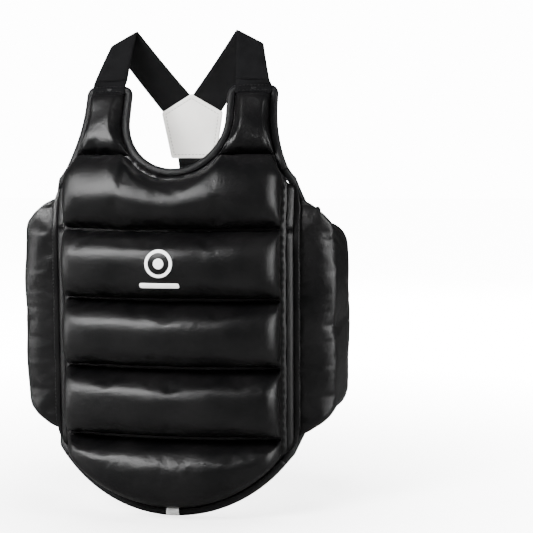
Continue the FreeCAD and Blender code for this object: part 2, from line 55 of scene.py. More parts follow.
# ---------------------------------------------------------------- the panels' surfaces
SEAM, FOLD, EDGE = np.array((152.0, -80.0)), np.array((177.0, 18.0)), np.array((155.0, 165.0))
FRONT_Y = -102.0
ARC = (SEAM[0] ** 2 + (SEAM[1] - FRONT_Y) ** 2) / (2 * (SEAM[1] - FRONT_Y))
ARC_Y = FRONT_Y + ARC
SIDE_LONG, REAR_LONG = np.linalg.norm(FOLD - SEAM), np.linalg.norm(EDGE - FOLD)
SEAMS = (4.0, 103.0, 194.0, 282.0, 371.0, 463.0)
LEAN_CHEST, LEAN_TAB, LEAN_SOFT = math.tan(math.radians(18)), math.tan(math.radians(28)), 12.0


def ease(t):
    t = np.clip(t, 0, 1)
    return t * t * (3 - 2 * t)


def lean(z):
    """The chest's slope backwards at a height, and how far it has gone back there."""
    slope, gone = 0.0, 0.0
    for level, step in ((SEAMS[4], LEAN_CHEST), (SEAMS[5], LEAN_TAB - LEAN_CHEST)):
        t = (np.asarray(z, float) - level) / LEAN_SOFT
        slope = slope + step * np.clip((t + 1) / 2, 0, 1)
        gone = gone + step * LEAN_SOFT * np.where(t > 1, t, np.clip(t + 1, 0, 2) ** 2 / 4)
    return slope, gone


def chest(x, z, n):
    """The chest panel: a point at width x and height z, n out from the lining's outer face."""
    slope, gone = lean(z)
    turn = 1 / np.sqrt(1 + slope * slope)
    radius = ARC - gone
    root = np.sqrt(radius * radius - x * x)
    out = n * turn / radius
    return np.stack([x + out * x, ARC_Y - root - out * root, z + n * slope * turn], -1)


def wing_side(u, z, n):
    """The side panel: u along it from the front seam. Its upper front corner follows the chest's lean."""
    along = (FOLD - SEAM) / SIDE_LONG
    pull = chest(SEAM[0] + 0 * z, z, 0 * z)[..., 1] - SEAM[1]
    pull = pull * np.clip(1 - u / SIDE_LONG, 0, 1.2) ** 2
    return np.stack([SEAM[0] + u * along[0] + n * along[1],
                     SEAM[1] + u * along[1] - n * along[0] + pull, z + 0 * u + 0 * n], -1)


def wing_rear(u, z, n):
    along = (EDGE - FOLD) / REAR_LONG
    return np.stack([FOLD[0] + u * along[0] + n * along[1],
                     FOLD[1] + u * along[1] - n * along[0], z + 0 * u + 0 * n], -1)


# outline of the chest panel
HEM_R, ARM_R, ARM_X, ARM_Z, NECK_R, NECK_Z = 189.0, 195.0, 323.0, 530.0, 63.0, 511.0
TAB_OUT, TAB_IN, TAB_TOP, TAB_CORNER = 128.0, 63.0, 553.0, 12.0


def hem_at(x, inset=0.0):
    return HEM_R - np.sqrt((HEM_R - inset) ** 2 - np.minimum(np.abs(x), HEM_R - inset - 1) ** 2)


def arm_at(z, inset=0.0):
    """Width of the chest panel at a height, by the armhole."""
    rise = np.clip(ARM_Z - z, 0, ARM_R + inset - 1)
    return ARM_X - np.sqrt((ARM_R + inset) ** 2 - rise ** 2)


def neck_at(z, inset=0.0):
    drop = np.clip(NECK_Z - z, 0, NECK_R + inset)
    return np.sqrt((NECK_R + inset) ** 2 - drop ** 2)


def arc(centre, radius, start, stop, count):
    a = np.radians(np.linspace(start, stop, count))
    return np.stack([centre[0] + radius * np.cos(a), centre[1] + radius * np.sin(a)], -1)


def tape_path(width_limit=149.0):
    """The upper edge of the chest panel's left half, from the armhole's foot to the neck's middle, with
    the direction inwards at each point."""
    reach = math.sqrt(ARM_R ** 2 - (ARM_X - width_limit) ** 2)
    start = 180 + math.degrees(math.atan2(reach, ARM_X - width_limit))
    r, mid = TAB_CORNER, (TAB_OUT, TAB_TOP)
    parts = [(arc((ARM_X, ARM_Z), ARM_R, start, 180, 40), (ARM_X, ARM_Z), -1),
             (arc((TAB_OUT - r, TAB_TOP - r), r, 0, 90, 8), (TAB_OUT - r, TAB_TOP - r), 1),
             (arc((TAB_IN + r, TAB_TOP - r), r, 90, 180, 8), (TAB_IN + r, TAB_TOP - r), 1),
             (arc((0, NECK_Z), NECK_R, 0, -90, 40), (0, NECK_Z), -1)]
    points, inward = [], []
    for run, centre, sign in parts:
        points.append(run)
        way = (np.array(centre) - run)
        inward.append(sign * way / np.linalg.norm(way, axis=1)[:, None])
    return dense(np.vstack(points), np.vstack(inward), 6.0)


def dense(points, inward, step):
    """Adds points on the long straight runs."""
    out_p, out_i = [points[0]], [inward[0]]
    for a, b, ia, ib in zip(points, points[1:], inward, inward[1:]):
        count = max(1, int(np.linalg.norm(b - a) / step))
        for k in range(1, count + 1):
            out_p.append(a + (b - a) * k / count)
            way = ia + (ib - ia) * k / count
            out_i.append(way / np.linalg.norm(way))
    return np.array(out_p), np.array(out_i)


# ---------------------------------------------------------------- meshes
def wobble(a, b, size, seed, octaves=5):
    """A smooth irregular field, from about -1 to 1, with features of the given size."""
    maker = np.random.RandomState(seed)
    total = 0.0
    for _ in range(octaves):
        angle, phase = maker.uniform(0, 2 * math.pi, 2)
        wave = 2 * math.pi / (size * maker.uniform(0.7, 1.6))
        total = total + np.sin((a * math.cos(angle) + b * math.sin(angle)) * wave + phase)
    return total / octaves * 1.4


def sheet_faces(rows, cols, wrap=False):
    last = cols if wrap else cols - 1
    return [(r * cols + c, r * cols + (c + 1) % cols, (r + 1) * cols + (c + 1) % cols, (r + 1) * cols + c)
            for r in range(rows - 1) for c in range(last)]


def mesh(name, points, faces, material, uv=None, sub=0, flip=False):
    points = np.asarray(points, float).reshape(-1, 3) * MM
    if flip:
        points = points * (-1, 1, 1)
        faces = [tuple(reversed(f)) for f in faces]
    data = bpy.data.meshes.new(name)
    data.from_pydata(points.tolist(), [], faces)
    data.update()
    data.polygons.foreach_set("use_smooth", [True] * len(data.polygons))
    if uv is not None:
        layer = data.uv_layers.new(name="cloth")
        index = np.zeros(len(data.loops), np.int32)
        data.loops.foreach_get("vertex_index", index)
        layer.data.foreach_set("uv", (np.asarray(uv, float).reshape(-1, 2) * MM)[index].ravel())
    obj = bpy.data.objects.new(name, data)
    scene.collection.objects.link(obj)
    data.materials.append(material)
    if sub:
        smooth = obj.modifiers.new("smooth", "SUBSURF")
        smooth.levels = smooth.render_levels = sub
    return obj


def on_body(obj, body, nodes=()):
    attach(obj, body)
    if nodes:
        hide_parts(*nodes)
    return obj


def sides(build):
    """Makes a left-hand piece and its right-hand twin."""
    return [build(side, side == "right") for side in ("left", "right")]


def sweep(name, rings, material, uv=None, flip=False, caps=True, sub=0):
    """A closed tube through rings of equal size."""
    rings = np.asarray(rings, float)
    rows, cols = rings.shape[:2]
    faces = sheet_faces(rows, cols, wrap=True)
    if caps:
        faces.append(tuple(range(cols))[::-1])
        faces.append(tuple((rows - 1) * cols + c for c in range(cols)))
    return mesh(name, rings.reshape(-1, 3), faces, material, uv, sub, flip)


def finer(outline, step):
    """A closed outline with its long edges divided."""
    points = []
    for a, b in zip(outline, np.roll(outline, -1, 0)):
        count = max(1, int(math.ceil(np.linalg.norm(b - a) / step)))
        points += [a + (b - a) * k / count for k in range(count)]
    return np.array(points)


def slab(name, outline, place, top, bottom, step, material, flip=False, extra=()):
    """A closed thin piece over a flat outline: place(a, b, n) puts it on a panel; top and bottom give n."""
    outline = finer(np.asarray(outline, float), step * 1.6)
    count = len(outline)
    low, high = outline.min(0), outline.max(0)
    grid_a, grid_b = np.meshgrid(np.arange(low[0] + step / 2, high[0], step),
                                 np.arange(low[1] + step / 2, high[1], step * 0.866))
    grid_a[1::2] += step / 2
    inner = np.stack([grid_a.ravel(), grid_b.ravel()], -1)
    nxt = np.roll(outline, -1, 0)
    edge = nxt - outline
    away = np.full(len(inner), 1e9)
    inside = np.zeros(len(inner), bool)
    for p, q, d in zip(outline, nxt, edge):
        t = np.clip(((inner - p) @ d) / max(d @ d, 1e-9), 0, 1)
        away = np.minimum(away, np.linalg.norm(inner - p - t[:, None] * d, axis=1))
        if p[1] != q[1]:
            hit = (inner[:, 1] > min(p[1], q[1])) & (inner[:, 1] <= max(p[1], q[1]))
            inside ^= hit & (inner[:, 0] < p[0] + (inner[:, 1] - p[1]) * d[0] / d[1])
    inner = inner[inside & (away > step * 0.55)]
    spots = np.vstack([outline, inner])
    made = geometry.delaunay_2d_cdt([Vector(s) for s in spots.tolist()],
                                    [(i, (i + 1) % count) for i in range(count)],
                                    [list(range(count))], 1, 1e-6)
    spots = np.array([tuple(v) for v in made[0]])
    tris = [tuple(f) for f in made[2]]
    a, b = spots[:, 0], spots[:, 1]
    total = len(spots)
    points = np.vstack([place(a, b, top(a, b) + 0 * a), place(a, b, bottom(a, b) + 0 * a)])
    uses = {}
    for f in tris:
        for i, j in ((f[0], f[1]), (f[1], f[2]), (f[2], f[0])):
            uses[(i, j)] = 1
    rim = [(i, j) for i, j in uses if (j, i) not in uses]
    faces = tris + [tuple(i + total for i in reversed(f)) for f in tris]
    faces += [(j, i, i + total, j + total) for i, j in rim]
    # a panel's own handedness decides which way its faces look
    probe = place(np.array([a.mean(), a.mean() + 1, a.mean(), a.mean()]),
                  np.array([b.mean(), b.mean(), b.mean() + 1, b.mean()]), np.array([0.0, 0, 0, 1]))
    if np.cross(probe[1] - probe[0], probe[2] - probe[0]) @ (probe[3] - probe[0]) < 0:
        faces = [tuple(reversed(f)) for f in faces]
    obj = mesh(name, points, faces, material, np.vstack([spots, spots]), 0, flip)
    return obj


def tape_edge(cols):
    """Places across webbing, and its thickness there as a share: thinner at the two edges."""
    share = np.linspace(0, 1, cols)
    return share, 1 - 0.45 * np.maximum(np.abs(share * 2 - 1) - 0.93, 0) / 0.07


def run_length(path):
    """Distance along a path at each of its points."""
    return np.concatenate([[0], np.cumsum(np.linalg.norm(np.diff(path, axis=0), axis=1))])


def quarter(count, power_along, power_up):
    """A rounded edge: how far in, and how high, from 0 to 1."""
    t = np.linspace(0, math.pi / 2, count) ** 1.15 * (math.pi / 2) ** -0.15
    return 1 - np.cos(t) ** (2 / power_along), np.sin(t) ** (2 / power_up)


def pillow(name, spot, place, height, ends, section, material, flip=False, body=None, texture=None,
           sub=1, swell=None):
    """A padded chamber. ends and section are pairs (position -1..1, height 0..1) across and up it;
    spot(s, t) gives its place on the panel and height(s, t, rise) how far it stands out there."""
    (s, rise_s), (t, rise_t) = ends, section
    s, t = np.meshgrid(s, t)
    rise_s, rise_t = np.meshgrid(rise_s, rise_t)
    firm = 1.8
    tiny = 1e-4
    both = (np.maximum(rise_s, tiny) ** -firm + np.maximum(rise_t, tiny) ** -firm - 1) ** (-1 / firm)
    both = np.where(np.minimum(rise_s, rise_t) <= tiny, 0, both)
    a, b = spot(s, t)
    n = height(a, b, s, t, both)
    rows, cols = a.shape
    front = place(a, b, n).reshape(-1, 3)
    rear = place(a, b, 0 * n + 0.2).reshape(-1, 3)
    index = np.arange(rows * cols).reshape(rows, cols)
    inner = np.zeros((rows, cols), bool)
    inner[1:-1, 1:-1] = True
    under = index.copy()
    under[inner] = rows * cols + np.arange(inner.sum())
    points = np.vstack([front, rear[inner.ravel()]])
    faces = []
    for r in range(rows - 1):
        for c in range(cols - 1):
            faces.append((index[r, c], index[r, c + 1], index[r + 1, c + 1], index[r + 1, c]))
            low = (under[r, c], under[r + 1, c], under[r + 1, c + 1], under[r, c + 1])
            if len(set(low) - set(faces[-1])):
                faces.append(low)
    faces = [tuple(int(i) for i in f) for f in faces]
    mid = index[rows // 2, cols // 2]
    way = np.cross(points[mid + 1] - points[mid], points[mid + cols] - points[mid])
    here = place(a[rows // 2, cols // 2], b[rows // 2, cols // 2], np.float64(0))
    if way @ (points[mid] - here) < 0:
        faces = [tuple(reversed(f)) for f in faces]
    obj = mesh(name, points, faces, material, None, 0, flip)
    if swell:
        rim = [int(i) for i in index[~inner]]
        held = rim + list(range(rows * cols, len(points)))
        inflate(obj, held, rows * cols, **swell)
    if texture:
        texture(obj)
    if sub:
        smooth = obj.modifiers.new("smooth", "SUBSURF")
        smooth.levels = smooth.render_levels = sub
    return obj


def inflate(obj, held, free, pressure=4.0, frames=14, cap=5.0, grow=0.03):
    """Lets the cover settle over its filling: cloth under pressure with its seams held, a little more
    cloth than fits, and no point allowed to move further than the cap."""
    rest = np.array([v.co for v in obj.data.vertices], float)
    group = obj.vertex_groups.new(name="held")
    group.add(held, 1.0, "REPLACE")
    cloth = obj.modifiers.new("cloth", "CLOTH")
    s = cloth.settings
    s.quality = 6
    s.mass = 0.3
    s.tension_stiffness = s.compression_stiffness = 25
    s.shear_stiffness = 12
    s.bending_stiffness = 2.5
    s.tension_damping = s.compression_damping = 12
    s.use_pressure = True
    s.uniform_pressure_force = pressure
    s.vertex_group_mass = "held"
    s.shrink_min = -grow
    s.effector_weights.gravity = 0
    cloth.collision_settings.use_collision = False
    cloth.point_cache.frame_start, cloth.point_cache.frame_end = 1, frames
    for f in range(1, frames + 1):
        scene.frame_set(f)
    shown = obj.evaluated_get(bpy.context.evaluated_depsgraph_get())
    moved = np.array([v.co for v in shown.data.vertices], float)
    obj.modifiers.remove(cloth)
    obj.vertex_groups.clear()
    scene.frame_set(1)
    step = moved - rest
    size = np.linalg.norm(step, axis=1)
    limit = cap * MM
    keep = np.where(size > 1e-9, limit * np.tanh(size / limit) / np.maximum(size, 1e-9), 1)
    step = step * keep[:, None]
    step[held] = 0
    obj.data.vertices.foreach_set("co", (rest + step).ravel())
    obj.data.update()


# ---------------------------------------------------------------- materials
def shader(name, rough, sheen=0.0, specular=0.5, coat=0.0):
    """A material with a principled shader, and a helper that adds nodes to it."""
    item = bpy.data.materials.new(name)
    item.use_nodes = True
    tree = item.node_tree
    tree.nodes.clear()

    def add(kind, links=(), **values):
        made = tree.nodes.new(kind)
        for key, value in values.items():
            setattr(made, key, value)
        for socket, source in dict(links).items():
            if isinstance(source, tuple) and hasattr(source[0], "outputs"):
                tree.links.new(source[0].outputs[source[1]], made.inputs[socket])
            else:
                made.inputs[socket].default_value = source
        return made

    bsdf = add("ShaderNodeBsdfPrincipled", {"Roughness": rough, "Sheen Weight": sheen,
                                            "Specular IOR Level": specular, "Coat Weight": coat,
                                            "Coat Roughness": 0.3})
    add("ShaderNodeOutputMaterial", {"Surface": (bsdf, 0)})
    return item, tree, add, bsdf


def two_tone(add, dark, light, factor, low=0.35, high=0.65):
    ramp = add("ShaderNodeValToRGB", {0: factor})
    ramp.color_ramp.elements[0].position, ramp.color_ramp.elements[0].color = low, (*dark, 1)
    ramp.color_ramp.elements[1].position, ramp.color_ramp.elements[1].color = high, (*light, 1)
    return ramp


def span(add, factor, low, high):
    return add("ShaderNodeMapRange", {0: factor, 3: low, 4: high})


def leather(name, dark, light, rough, grain=0.25, size=760.0, specular=0.5, coat=0.0):
    """Coated leather: a fine pebble grain, faint creases, and sheen that varies from place to place."""
    item, tree, add, bsdf = shader(name, rough, specular=specular, coat=coat)
    where = (add("ShaderNodeTexCoord"), 3)
    drift = add("ShaderNodeTexNoise", {"Vector": where, "Scale": 22.0, "Detail": 4.0})
    tone = two_tone(add, dark, light, (drift, 0))
    tree.links.new(tone.outputs[0], bsdf.inputs["Base Color"])
    gloss = span(add, (drift, 0), rough - 0.06, rough + 0.07)
    tree.links.new(gloss.outputs[0], bsdf.inputs["Roughness"])
    bend = add("ShaderNodeTexNoise", {"Vector": where, "Scale": 160.0, "Detail": 3.0})
    mixed = add("ShaderNodeVectorMath", {0: where, 1: (bend, 1)}, operation="MULTIPLY_ADD")
    mixed.inputs[1].default_value = (1, 1, 1)
    tree.links.new(where[0].outputs[3], mixed.inputs[0])
    scaled = add("ShaderNodeVectorMath", {0: (bend, 1), "Scale": 0.0009}, operation="SCALE")
    tree.links.new(scaled.outputs[0], mixed.inputs[2])
    pebble = add("ShaderNodeTexVoronoi", {"Vector": (mixed, 0), "Scale": size}, feature="DISTANCE_TO_EDGE")
    cell = span(add, (pebble, 0), 0.0, 1.0)
    cell.inputs[1].default_value, cell.inputs[2].default_value = 0.0, 0.28
    crease = add("ShaderNodeTexNoise", {"Vector": where, "Scale": 110.0, "Detail": 4.0, "Roughness": 0.58})
    fine = add("ShaderNodeBump", {"Height": (cell, 0), "Strength": grain, "Distance": 0.00011})
    broad = add("ShaderNodeBump", {"Height": (crease, 0), "Strength": grain, "Distance": 0.0016,
                                   "Normal": (fine, 0)})
    tree.links.new(broad.outputs[0], bsdf.inputs["Normal"])
    return item


def woven(name, dark, light, rough, rib, cross, depth=0.0003, sheen=0.0, specular=0.35):
    """Webbing or tape: ribs along it and fine threads across, from the piece's own lengthwise map."""
    item, tree, add, bsdf = shader(name, rough, sheen=sheen, specular=specular)
    uv = (add("ShaderNodeTexCoord"), 2)
    along = add("ShaderNodeTexWave", {"Vector": uv, "Scale": 0.314 / (rib * MM), "Distortion": 0.4,
                                      "Detail Scale": 2.0}, bands_direction="X")
    over = add("ShaderNodeTexWave", {"Vector": uv, "Scale": 0.314 / (cross * MM), "Distortion": 0.6},
               bands_direction="Y")
    both = add("ShaderNodeMath", {0: (along, 1), 1: (over, 1)}, operation="MULTIPLY")
    drift = add("ShaderNodeTexNoise", {"Vector": (add("ShaderNodeTexCoord"), 3), "Scale": 60.0,
                                       "Detail": 5.0})
    blend = add("ShaderNodeMath", {0: (both, 0), 1: (drift, 0)}, operation="ADD")
    half = add("ShaderNodeMath", {0: (blend, 0), 1: 0.5}, operation="MULTIPLY")
    tone = two_tone(add, dark, light, (half, 0), 0.2, 0.8)
    tree.links.new(tone.outputs[0], bsdf.inputs["Base Color"])
    bump = add("ShaderNodeBump", {"Height": (both, 0), "Strength": 0.8, "Distance": depth})
    tree.links.new(bump.outputs[0], bsdf.inputs["Normal"])
    return item


def pile(name, dark, light):
    """Hook-and-loop tape: a matte nap of tiny loops."""
    item, tree, add, bsdf = shader(name, 0.9, sheen=0.03, specular=0.1)
    where = (add("ShaderNodeTexCoord"), 3)
    nap = add("ShaderNodeTexVoronoi", {"Vector": where, "Scale": 900.0})
    tone = two_tone(add, dark, light, (nap, 0), 0.1, 0.7)
    tree.links.new(tone.outputs[0], bsdf.inputs["Base Color"])
    bump = add("ShaderNodeBump", {"Height": (nap, 0), "Strength": 0.9, "Distance": 0.0005})
    tree.links.new(bump.outputs[0], bsdf.inputs["Normal"])
    return item


def plain_thread(name, dark, light, rough=0.55):
    """Twisted sewing thread."""
    item, tree, add, bsdf = shader(name, rough, specular=0.4)
    where = (add("ShaderNodeTexCoord"), 3)
    twist = add("ShaderNodeTexNoise", {"Vector": where, "Scale": 1500.0, "Detail": 2.0})
    tone = two_tone(add, dark, light, (twist, 0))
    tree.links.new(tone.outputs[0], bsdf.inputs["Base Color"])
    bump = add("ShaderNodeBump", {"Height": (twist, 0), "Strength": 0.5, "Distance": 0.0002})
    tree.links.new(bump.outputs[0], bsdf.inputs["Normal"])
    return item


BLACK = leather("black_leather", (0.0014, 0.0014, 0.0016), (0.0034, 0.0032, 0.0034), 0.33, grain=0.3)
WHITE = leather("white_vinyl", (0.80, 0.80, 0.785), (0.86, 0.86, 0.85), 0.5, grain=0.2, size=900.0,
                specular=0.4)
IVORY = leather("ivory_leather", (0.70, 0.685, 0.655), (0.78, 0.765, 0.735), 0.5, grain=0.3, size=900.0,
                specular=0.4)
TAPE = woven("black_binding", (0.002, 0.002, 0.0022), (0.006, 0.006, 0.0066), 0.45, 0.9, 0.7, 0.00012,
             specular=0.45)
WEBBING = woven("webbing", (0.0015, 0.0015, 0.0017), (0.006, 0.006, 0.0065), 0.8, 1.5, 0.75, 0.0003,
                sheen=0.0, specular=0.14)
NAP = pile("hook_and_loop", (0.003, 0.003, 0.0032), (0.012, 0.012, 0.0125))
LABEL = woven("label_cloth", (0.56, 0.57, 0.59), (0.72, 0.73, 0.75), 0.38, 0.45, 0.45, 0.00006,
              specular=0.6)
THREAD = plain_thread("black_thread", (0.003, 0.003, 0.0033), (0.010, 0.010, 0.0105))
# The lining's white thread, darkened to grey: painted shade, a line standing in for the shadow along the
# quilted seams.
PALE_THREAD_SEAM_SHADE = plain_thread("white_thread_seam_shade", (0.34, 0.335, 0.32), (0.5, 0.49, 0.47))
# Grey thread for the yoke's ivory face: partly the thread's own light grey, partly painted shade for the
# stitches' shadows.
GREY_THREAD_STITCH_SHADE = plain_thread("grey_thread_stitch_shade", (0.16, 0.155, 0.15), (0.26, 0.25, 0.24))
INK_WHITE = leather("white_print", (0.86, 0.86, 0.86), (0.92, 0.92, 0.92), 0.45, grain=0.12)
INK_BLACK = leather("black_print", (0.012, 0.012, 0.013), (0.02, 0.02, 0.021), 0.45, grain=0.12)
INK_GREY = leather("grey_print", (0.36, 0.36, 0.37), (0.42, 0.42, 0.43), 0.5, grain=0.1)


# ---------------------------------------------------------------- stitches
def stitches(name, path, out, material, flip=False, long=3.4, gap=1.5, thick=0.42, lift=0.15):
    """A sewn row: short threads that dip into the cloth, along a path with its outward directions."""
    path, out = np.asarray(path, float), np.asarray(out, float)
    run = np.concatenate([[0], np.cumsum(np.linalg.norm(np.diff(path, axis=0), axis=1))])
    count = max(1, int((run[-1] - gap) / (long + gap)))
    rings, around = 5, 6
    points, faces = [], []
    ends = np.linspace(-1, 1, rings)
    turn = np.linspace(0, 2 * math.pi, around, endpoint=False)

    def at(table, where):
        return np.stack([np.interp(where, run, table[:, k]) for k in range(3)], -1)

    for k in range(count):
        centre = gap + long / 2 + k * (long + gap)
        spots = at(path, centre + ends * long / 2)
        ups = at(out, centre + ends * long / 2)
        ups /= np.linalg.norm(ups, axis=1)[:, None]
        ahead = spots[-1] - spots[0]
        ahead /= max(np.linalg.norm(ahead), 1e-9)
        base = len(points)
        for e, p, up in zip(ends, spots, ups):
            across = np.cross(ahead, up)
            wide = thick * math.sqrt(max(1 - 0.75 * e * e, 0.05))
            core = p + up * (lift + thick * 0.6 - thick * 1.7 * abs(e) ** 2.5)
            points += [core + (across * math.cos(a) + up * math.sin(a)) * wide for a in turn]
        faces += [tuple(base + i for i in f) for f in sheet_faces(rings, around, wrap=True)]
        faces.append(tuple(base + c for c in range(around))[::-1])
        faces.append(tuple(base + (rings - 1) * around + c for c in range(around)))
    return mesh(name, points, faces, material, None, 0, flip)


def panel_row(name, place, a, b, n, material, flip=False, inside=False, **size):
    """A row of stitches over a panel, through the places (a, b) at n."""
    a, b = np.broadcast_arrays(np.asarray(a, float), np.asarray(b, float))
    n = n + 0 * a
    sign = -1 if inside else 1
    path = place(a, b, n)
    return stitches(name, path, place(a, b, n + sign) - path, material, flip, **size)


# ---------------------------------------------------------------- quilted front
LEATHER_N = 1.5
CHANNEL_HALF, CHANNEL_DEEP, TAB_DEEP = 138.5, 43.5, 22.0
FIELD, TAB_FIELD = 15.0, 11.0


def rounded(count, middle, reach, along=2.3, up=2.2, far=None):
    """Positions and heights from -1 to 1 with an edge rounded over the share reach at the first end and
    far at the last."""
    pos, rise = quarter(count, along, up)
    first, last = -1 + pos * reach, 1 - pos[::-1] * (far or reach)
    if reach >= 1:
        return (np.concatenate([first[:-1], [0.0], last[1:]]),
                np.concatenate([rise[:-1], [1.0], rise[::-1][1:]]))
    flat = np.linspace(first[-1], last[0], middle + 2)[1:-1]
    return np.concatenate([first, flat, last]), np.concatenate([rise, np.ones(len(flat)), rise[::-1]])


def hem_edge(x):
    return hem_at(x, FIELD)


def scallop(x, top):
    """The neck's margin line, or the seam where it is lower."""
    r = NECK_R + FIELD
    inside = np.abs(x) < r
    low = NECK_Z - np.sqrt(np.maximum(r * r - x * x, 0))
    return np.where(inside, np.minimum(low, top), top)


def gathers(a, away, reach, size, seed, deep):
    """Small folds that run square to a seam and die out away from it."""
    return deep * wobble(a, 0 * a, size, seed, 6) * np.exp(-(away / reach) ** 2)


def channel(number):
    low, top = SEAMS[5 - number], SEAMS[6 - number]

    def spot(s, t):
        x = s * CHANNEL_HALF
        if number == 1:
            for _ in range(3):
                z_top = scallop(x, top - 1)
                z = low + 1 + (z_top - low - 1) * (t + 1) / 2
                x = s * np.minimum(CHANNEL_HALF, arm_at(z, FIELD))
        z_low = hem_edge(x) if number == 5 else low + 1 + 0 * x
        z_top = scallop(x, top - 1) if number == 1 else top - 1 + 0 * x
        return x, z_low + (z_top - z_low) * (t + 1) / 2

    def height(x, z, s, t, rise):
        z_low = hem_edge(x) if number == 5 else low + 0 * x
        z_top = scallop(x, top) if number == 1 else top + 0 * x
        tall = (z_top - z_low) / 88.0
        deep = CHANNEL_DEEP * (1 - 0.5 * np.clip(1 - tall, 0, 1) ** 1.6) * (1 - 0.035 * s * s)
        away = np.minimum(z - z_low, z_top - z)
        n = deep * rise + 0.9 * wobble(x, z, 75, 31 + number) * rise
        n += gathers(x, away, 13, 13, 51 + number, 0.55) * rise ** 0.4
        end = CHANNEL_HALF - np.abs(x)
        n += gathers(z, end, 12, 16, 71 + number, 0.5) * rise ** 0.4
        if number == 1:
            for side in (-1, 1):
                n += pucker(x, z, side * 66, 462, 20, 2.4, 3 + side) * rise ** 0.3
                n += pucker(x, z, side * 122, 463, 16, 1.5, 5 + side) * rise ** 0.3
        return np.maximum(n, 0.2)

    return spot, height


def pucker(x, z, at_x, at_z, reach, deep, seed):
    """Folds that spread from the end of a seam."""
    away = np.hypot(x - at_x, z - at_z)
    angle = np.arctan2(z - at_z, x - at_x)
    fan = np.sin(7 * angle + seed) * 0.6 + np.sin(12 * angle + 2 * seed) * 0.4
    return deep * fan * np.exp(-(away / reach) ** 2) * np.clip(away / 4, 0, 1)


CHANNELS = {}
for number in (1, 2, 3, 4, 5):
    spot, height = channel(number)
    made = pillow(f"quilt_channel_{number}", spot, chest, height, rounded(16, 46, 0.19, 2.3, 2.2),
                  rounded(17, 0, 1.0, 2.5, 2.15), BLACK,
                  swell={"pressure": 3.0, "cap": 3.0, "grow": 0.02})
    CHANNELS[number] = on_body(made, "chest", [f"foam_channel_{number}"])


def tab_spot(s, t):
    z = SEAMS[5] + 1 + (541 - SEAMS[5] - 1) * (t + 1) / 2
    inner, outer = neck_at(z, TAB_FIELD), arm_at(z, TAB_FIELD)
    return inner + (outer - inner) * (s + 1) / 2, z


def tab_height(x, z, s, t, rise):
    n = TAB_DEEP * rise * (1 + 0.06 * wobble(x, z, 40, 91))
    n += (pucker(x, z, 60, 464, 17, 2.6, 1.3) * rise ** 0.3
          + pucker(x, z, 121, 465, 15, 1.8, 2.1) * rise ** 0.3)
    n += gathers(x, z - SEAMS[5], 12, 12, 93, 0.8) * rise ** 0.4
    return np.maximum(n, 0.2)


def build_tab(side, flip):
    made = pillow(f"{side}_tab_pad", tab_spot, chest, tab_height, rounded(12, 10, 0.52, 2.2, 2.1),
                  rounded(12, 14, 0.5, 2.2, 2.1), BLACK, flip,
                  swell={"pressure": 2.0, "cap": 2.0, "grow": 0.02})
    return on_body(made, "chest", [f"{side}_tab_foam"])


sides(build_tab)

# the cover's margins and the lining: one outline, cut short of the folds and hidden under the binding
EDGE_IN = 9.0
PANEL_X = 146.0


def chest_outline(inset, width):
    hem_x = np.linspace(-width, width, 61)
    hem = np.stack([hem_x, hem_at(hem_x, inset)], -1)
    z_arm = ARM_Z - math.sqrt((ARM_R + inset) ** 2 - (ARM_X - width) ** 2)
    arm_z = np.linspace(z_arm, ARM_Z, 30)
    r = TAB_CORNER - min(inset, TAB_CORNER - 2)
    right = [np.stack([arm_at(arm_z, inset), arm_z], -1),
             arc((TAB_OUT - inset - r, TAB_TOP - inset - r), r, 0, 90, 5),
             arc((TAB_IN + inset + r, TAB_TOP - inset - r), r, 90, 180, 5),
             arc((0, NECK_Z), NECK_R + inset, 0, -90, 26)]
    right = np.vstack(right)
    left = right[:-1][::-1] * (-1, 1)
    return np.vstack([hem, right, left])[:-1]


def nearest_seam(z):
    return np.min([np.abs(z - level) for level in SEAMS[1:]], axis=0)


def lining_in(x, z):
    """The lining's inner face: quilted along the channels' seams."""
    puff = 1 - np.exp(-(nearest_seam(z) / 9) ** 2)
    fade = ease((CHANNEL_HALF + 6 - np.abs(x)) / 14)
    return -1.9 - 3.0 * puff * fade - 0.5 * wobble(x, z, 55, 17) * puff


def margin_out(x, z):
    return LEATHER_N + 0.35 * wobble(x, z, 26, 19) + 0.3


panel = chest_outline(EDGE_IN, PANEL_X)
flange = slab("front_cover_margins", panel, chest, margin_out, lambda a, b: 0.1 + 0 * a, 6.0, BLACK)
on_body(flange, "chest", ["front_cover"])
lining = slab("chest_lining_quilted", panel, chest, lambda a, b: 0.0 * a, lining_in, 4.5, WHITE)
on_body(lining, "chest", ["chest_lining"])


# ---------------------------------------------------------------- wings
WING_STEEP = 1.3        # a sloping edge's binding is this much taller than it is wide
SIDE_DEEP, REAR_DEEP = 45.5, 41.5


def side_top(u, inset=0.0):
    return 440 + (362 - 440) * u / SIDE_LONG - inset * WING_STEEP


def side_low(u, inset=0.0):
    return 77 + (132 - 77) * u / SIDE_LONG + inset * WING_STEEP


def side_pad_low(u):
    return 98 + (146 - 98) * u / SIDE_LONG


def side_pad_top(u):
    return 417 + (348 - 417) * u / SIDE_LONG


SIDE_NEAR, SIDE_FAR = 10.5, SIDE_LONG - 5.0


def side_spot(s, t):
    u = SIDE_NEAR + (SIDE_FAR - SIDE_NEAR) * (s + 1) / 2
    return u, side_pad_low(u) + (side_pad_top(u) - side_pad_low(u)) * (t + 1) / 2


def side_height(u, z, s, t, rise):
    n = SIDE_DEEP * rise * (1 - 0.05 * t * t + 0.05 * s) + 1.1 * wobble(u, z, 90, 131) * rise
    n += gathers(z, u - SIDE_NEAR, 15, 11, 133, 1.3) * rise ** 0.4
    n += gathers(z, SIDE_FAR - u, 13, 13, 135, 0.9) * rise ** 0.4
    n += gathers(u, side_pad_top(u) - z, 16, 12, 137, 0.9) * rise ** 0.4
    n += gathers(u, z - side_pad_low(u), 16, 12, 139, 0.9) * rise ** 0.4
    return np.maximum(n, 0.2)


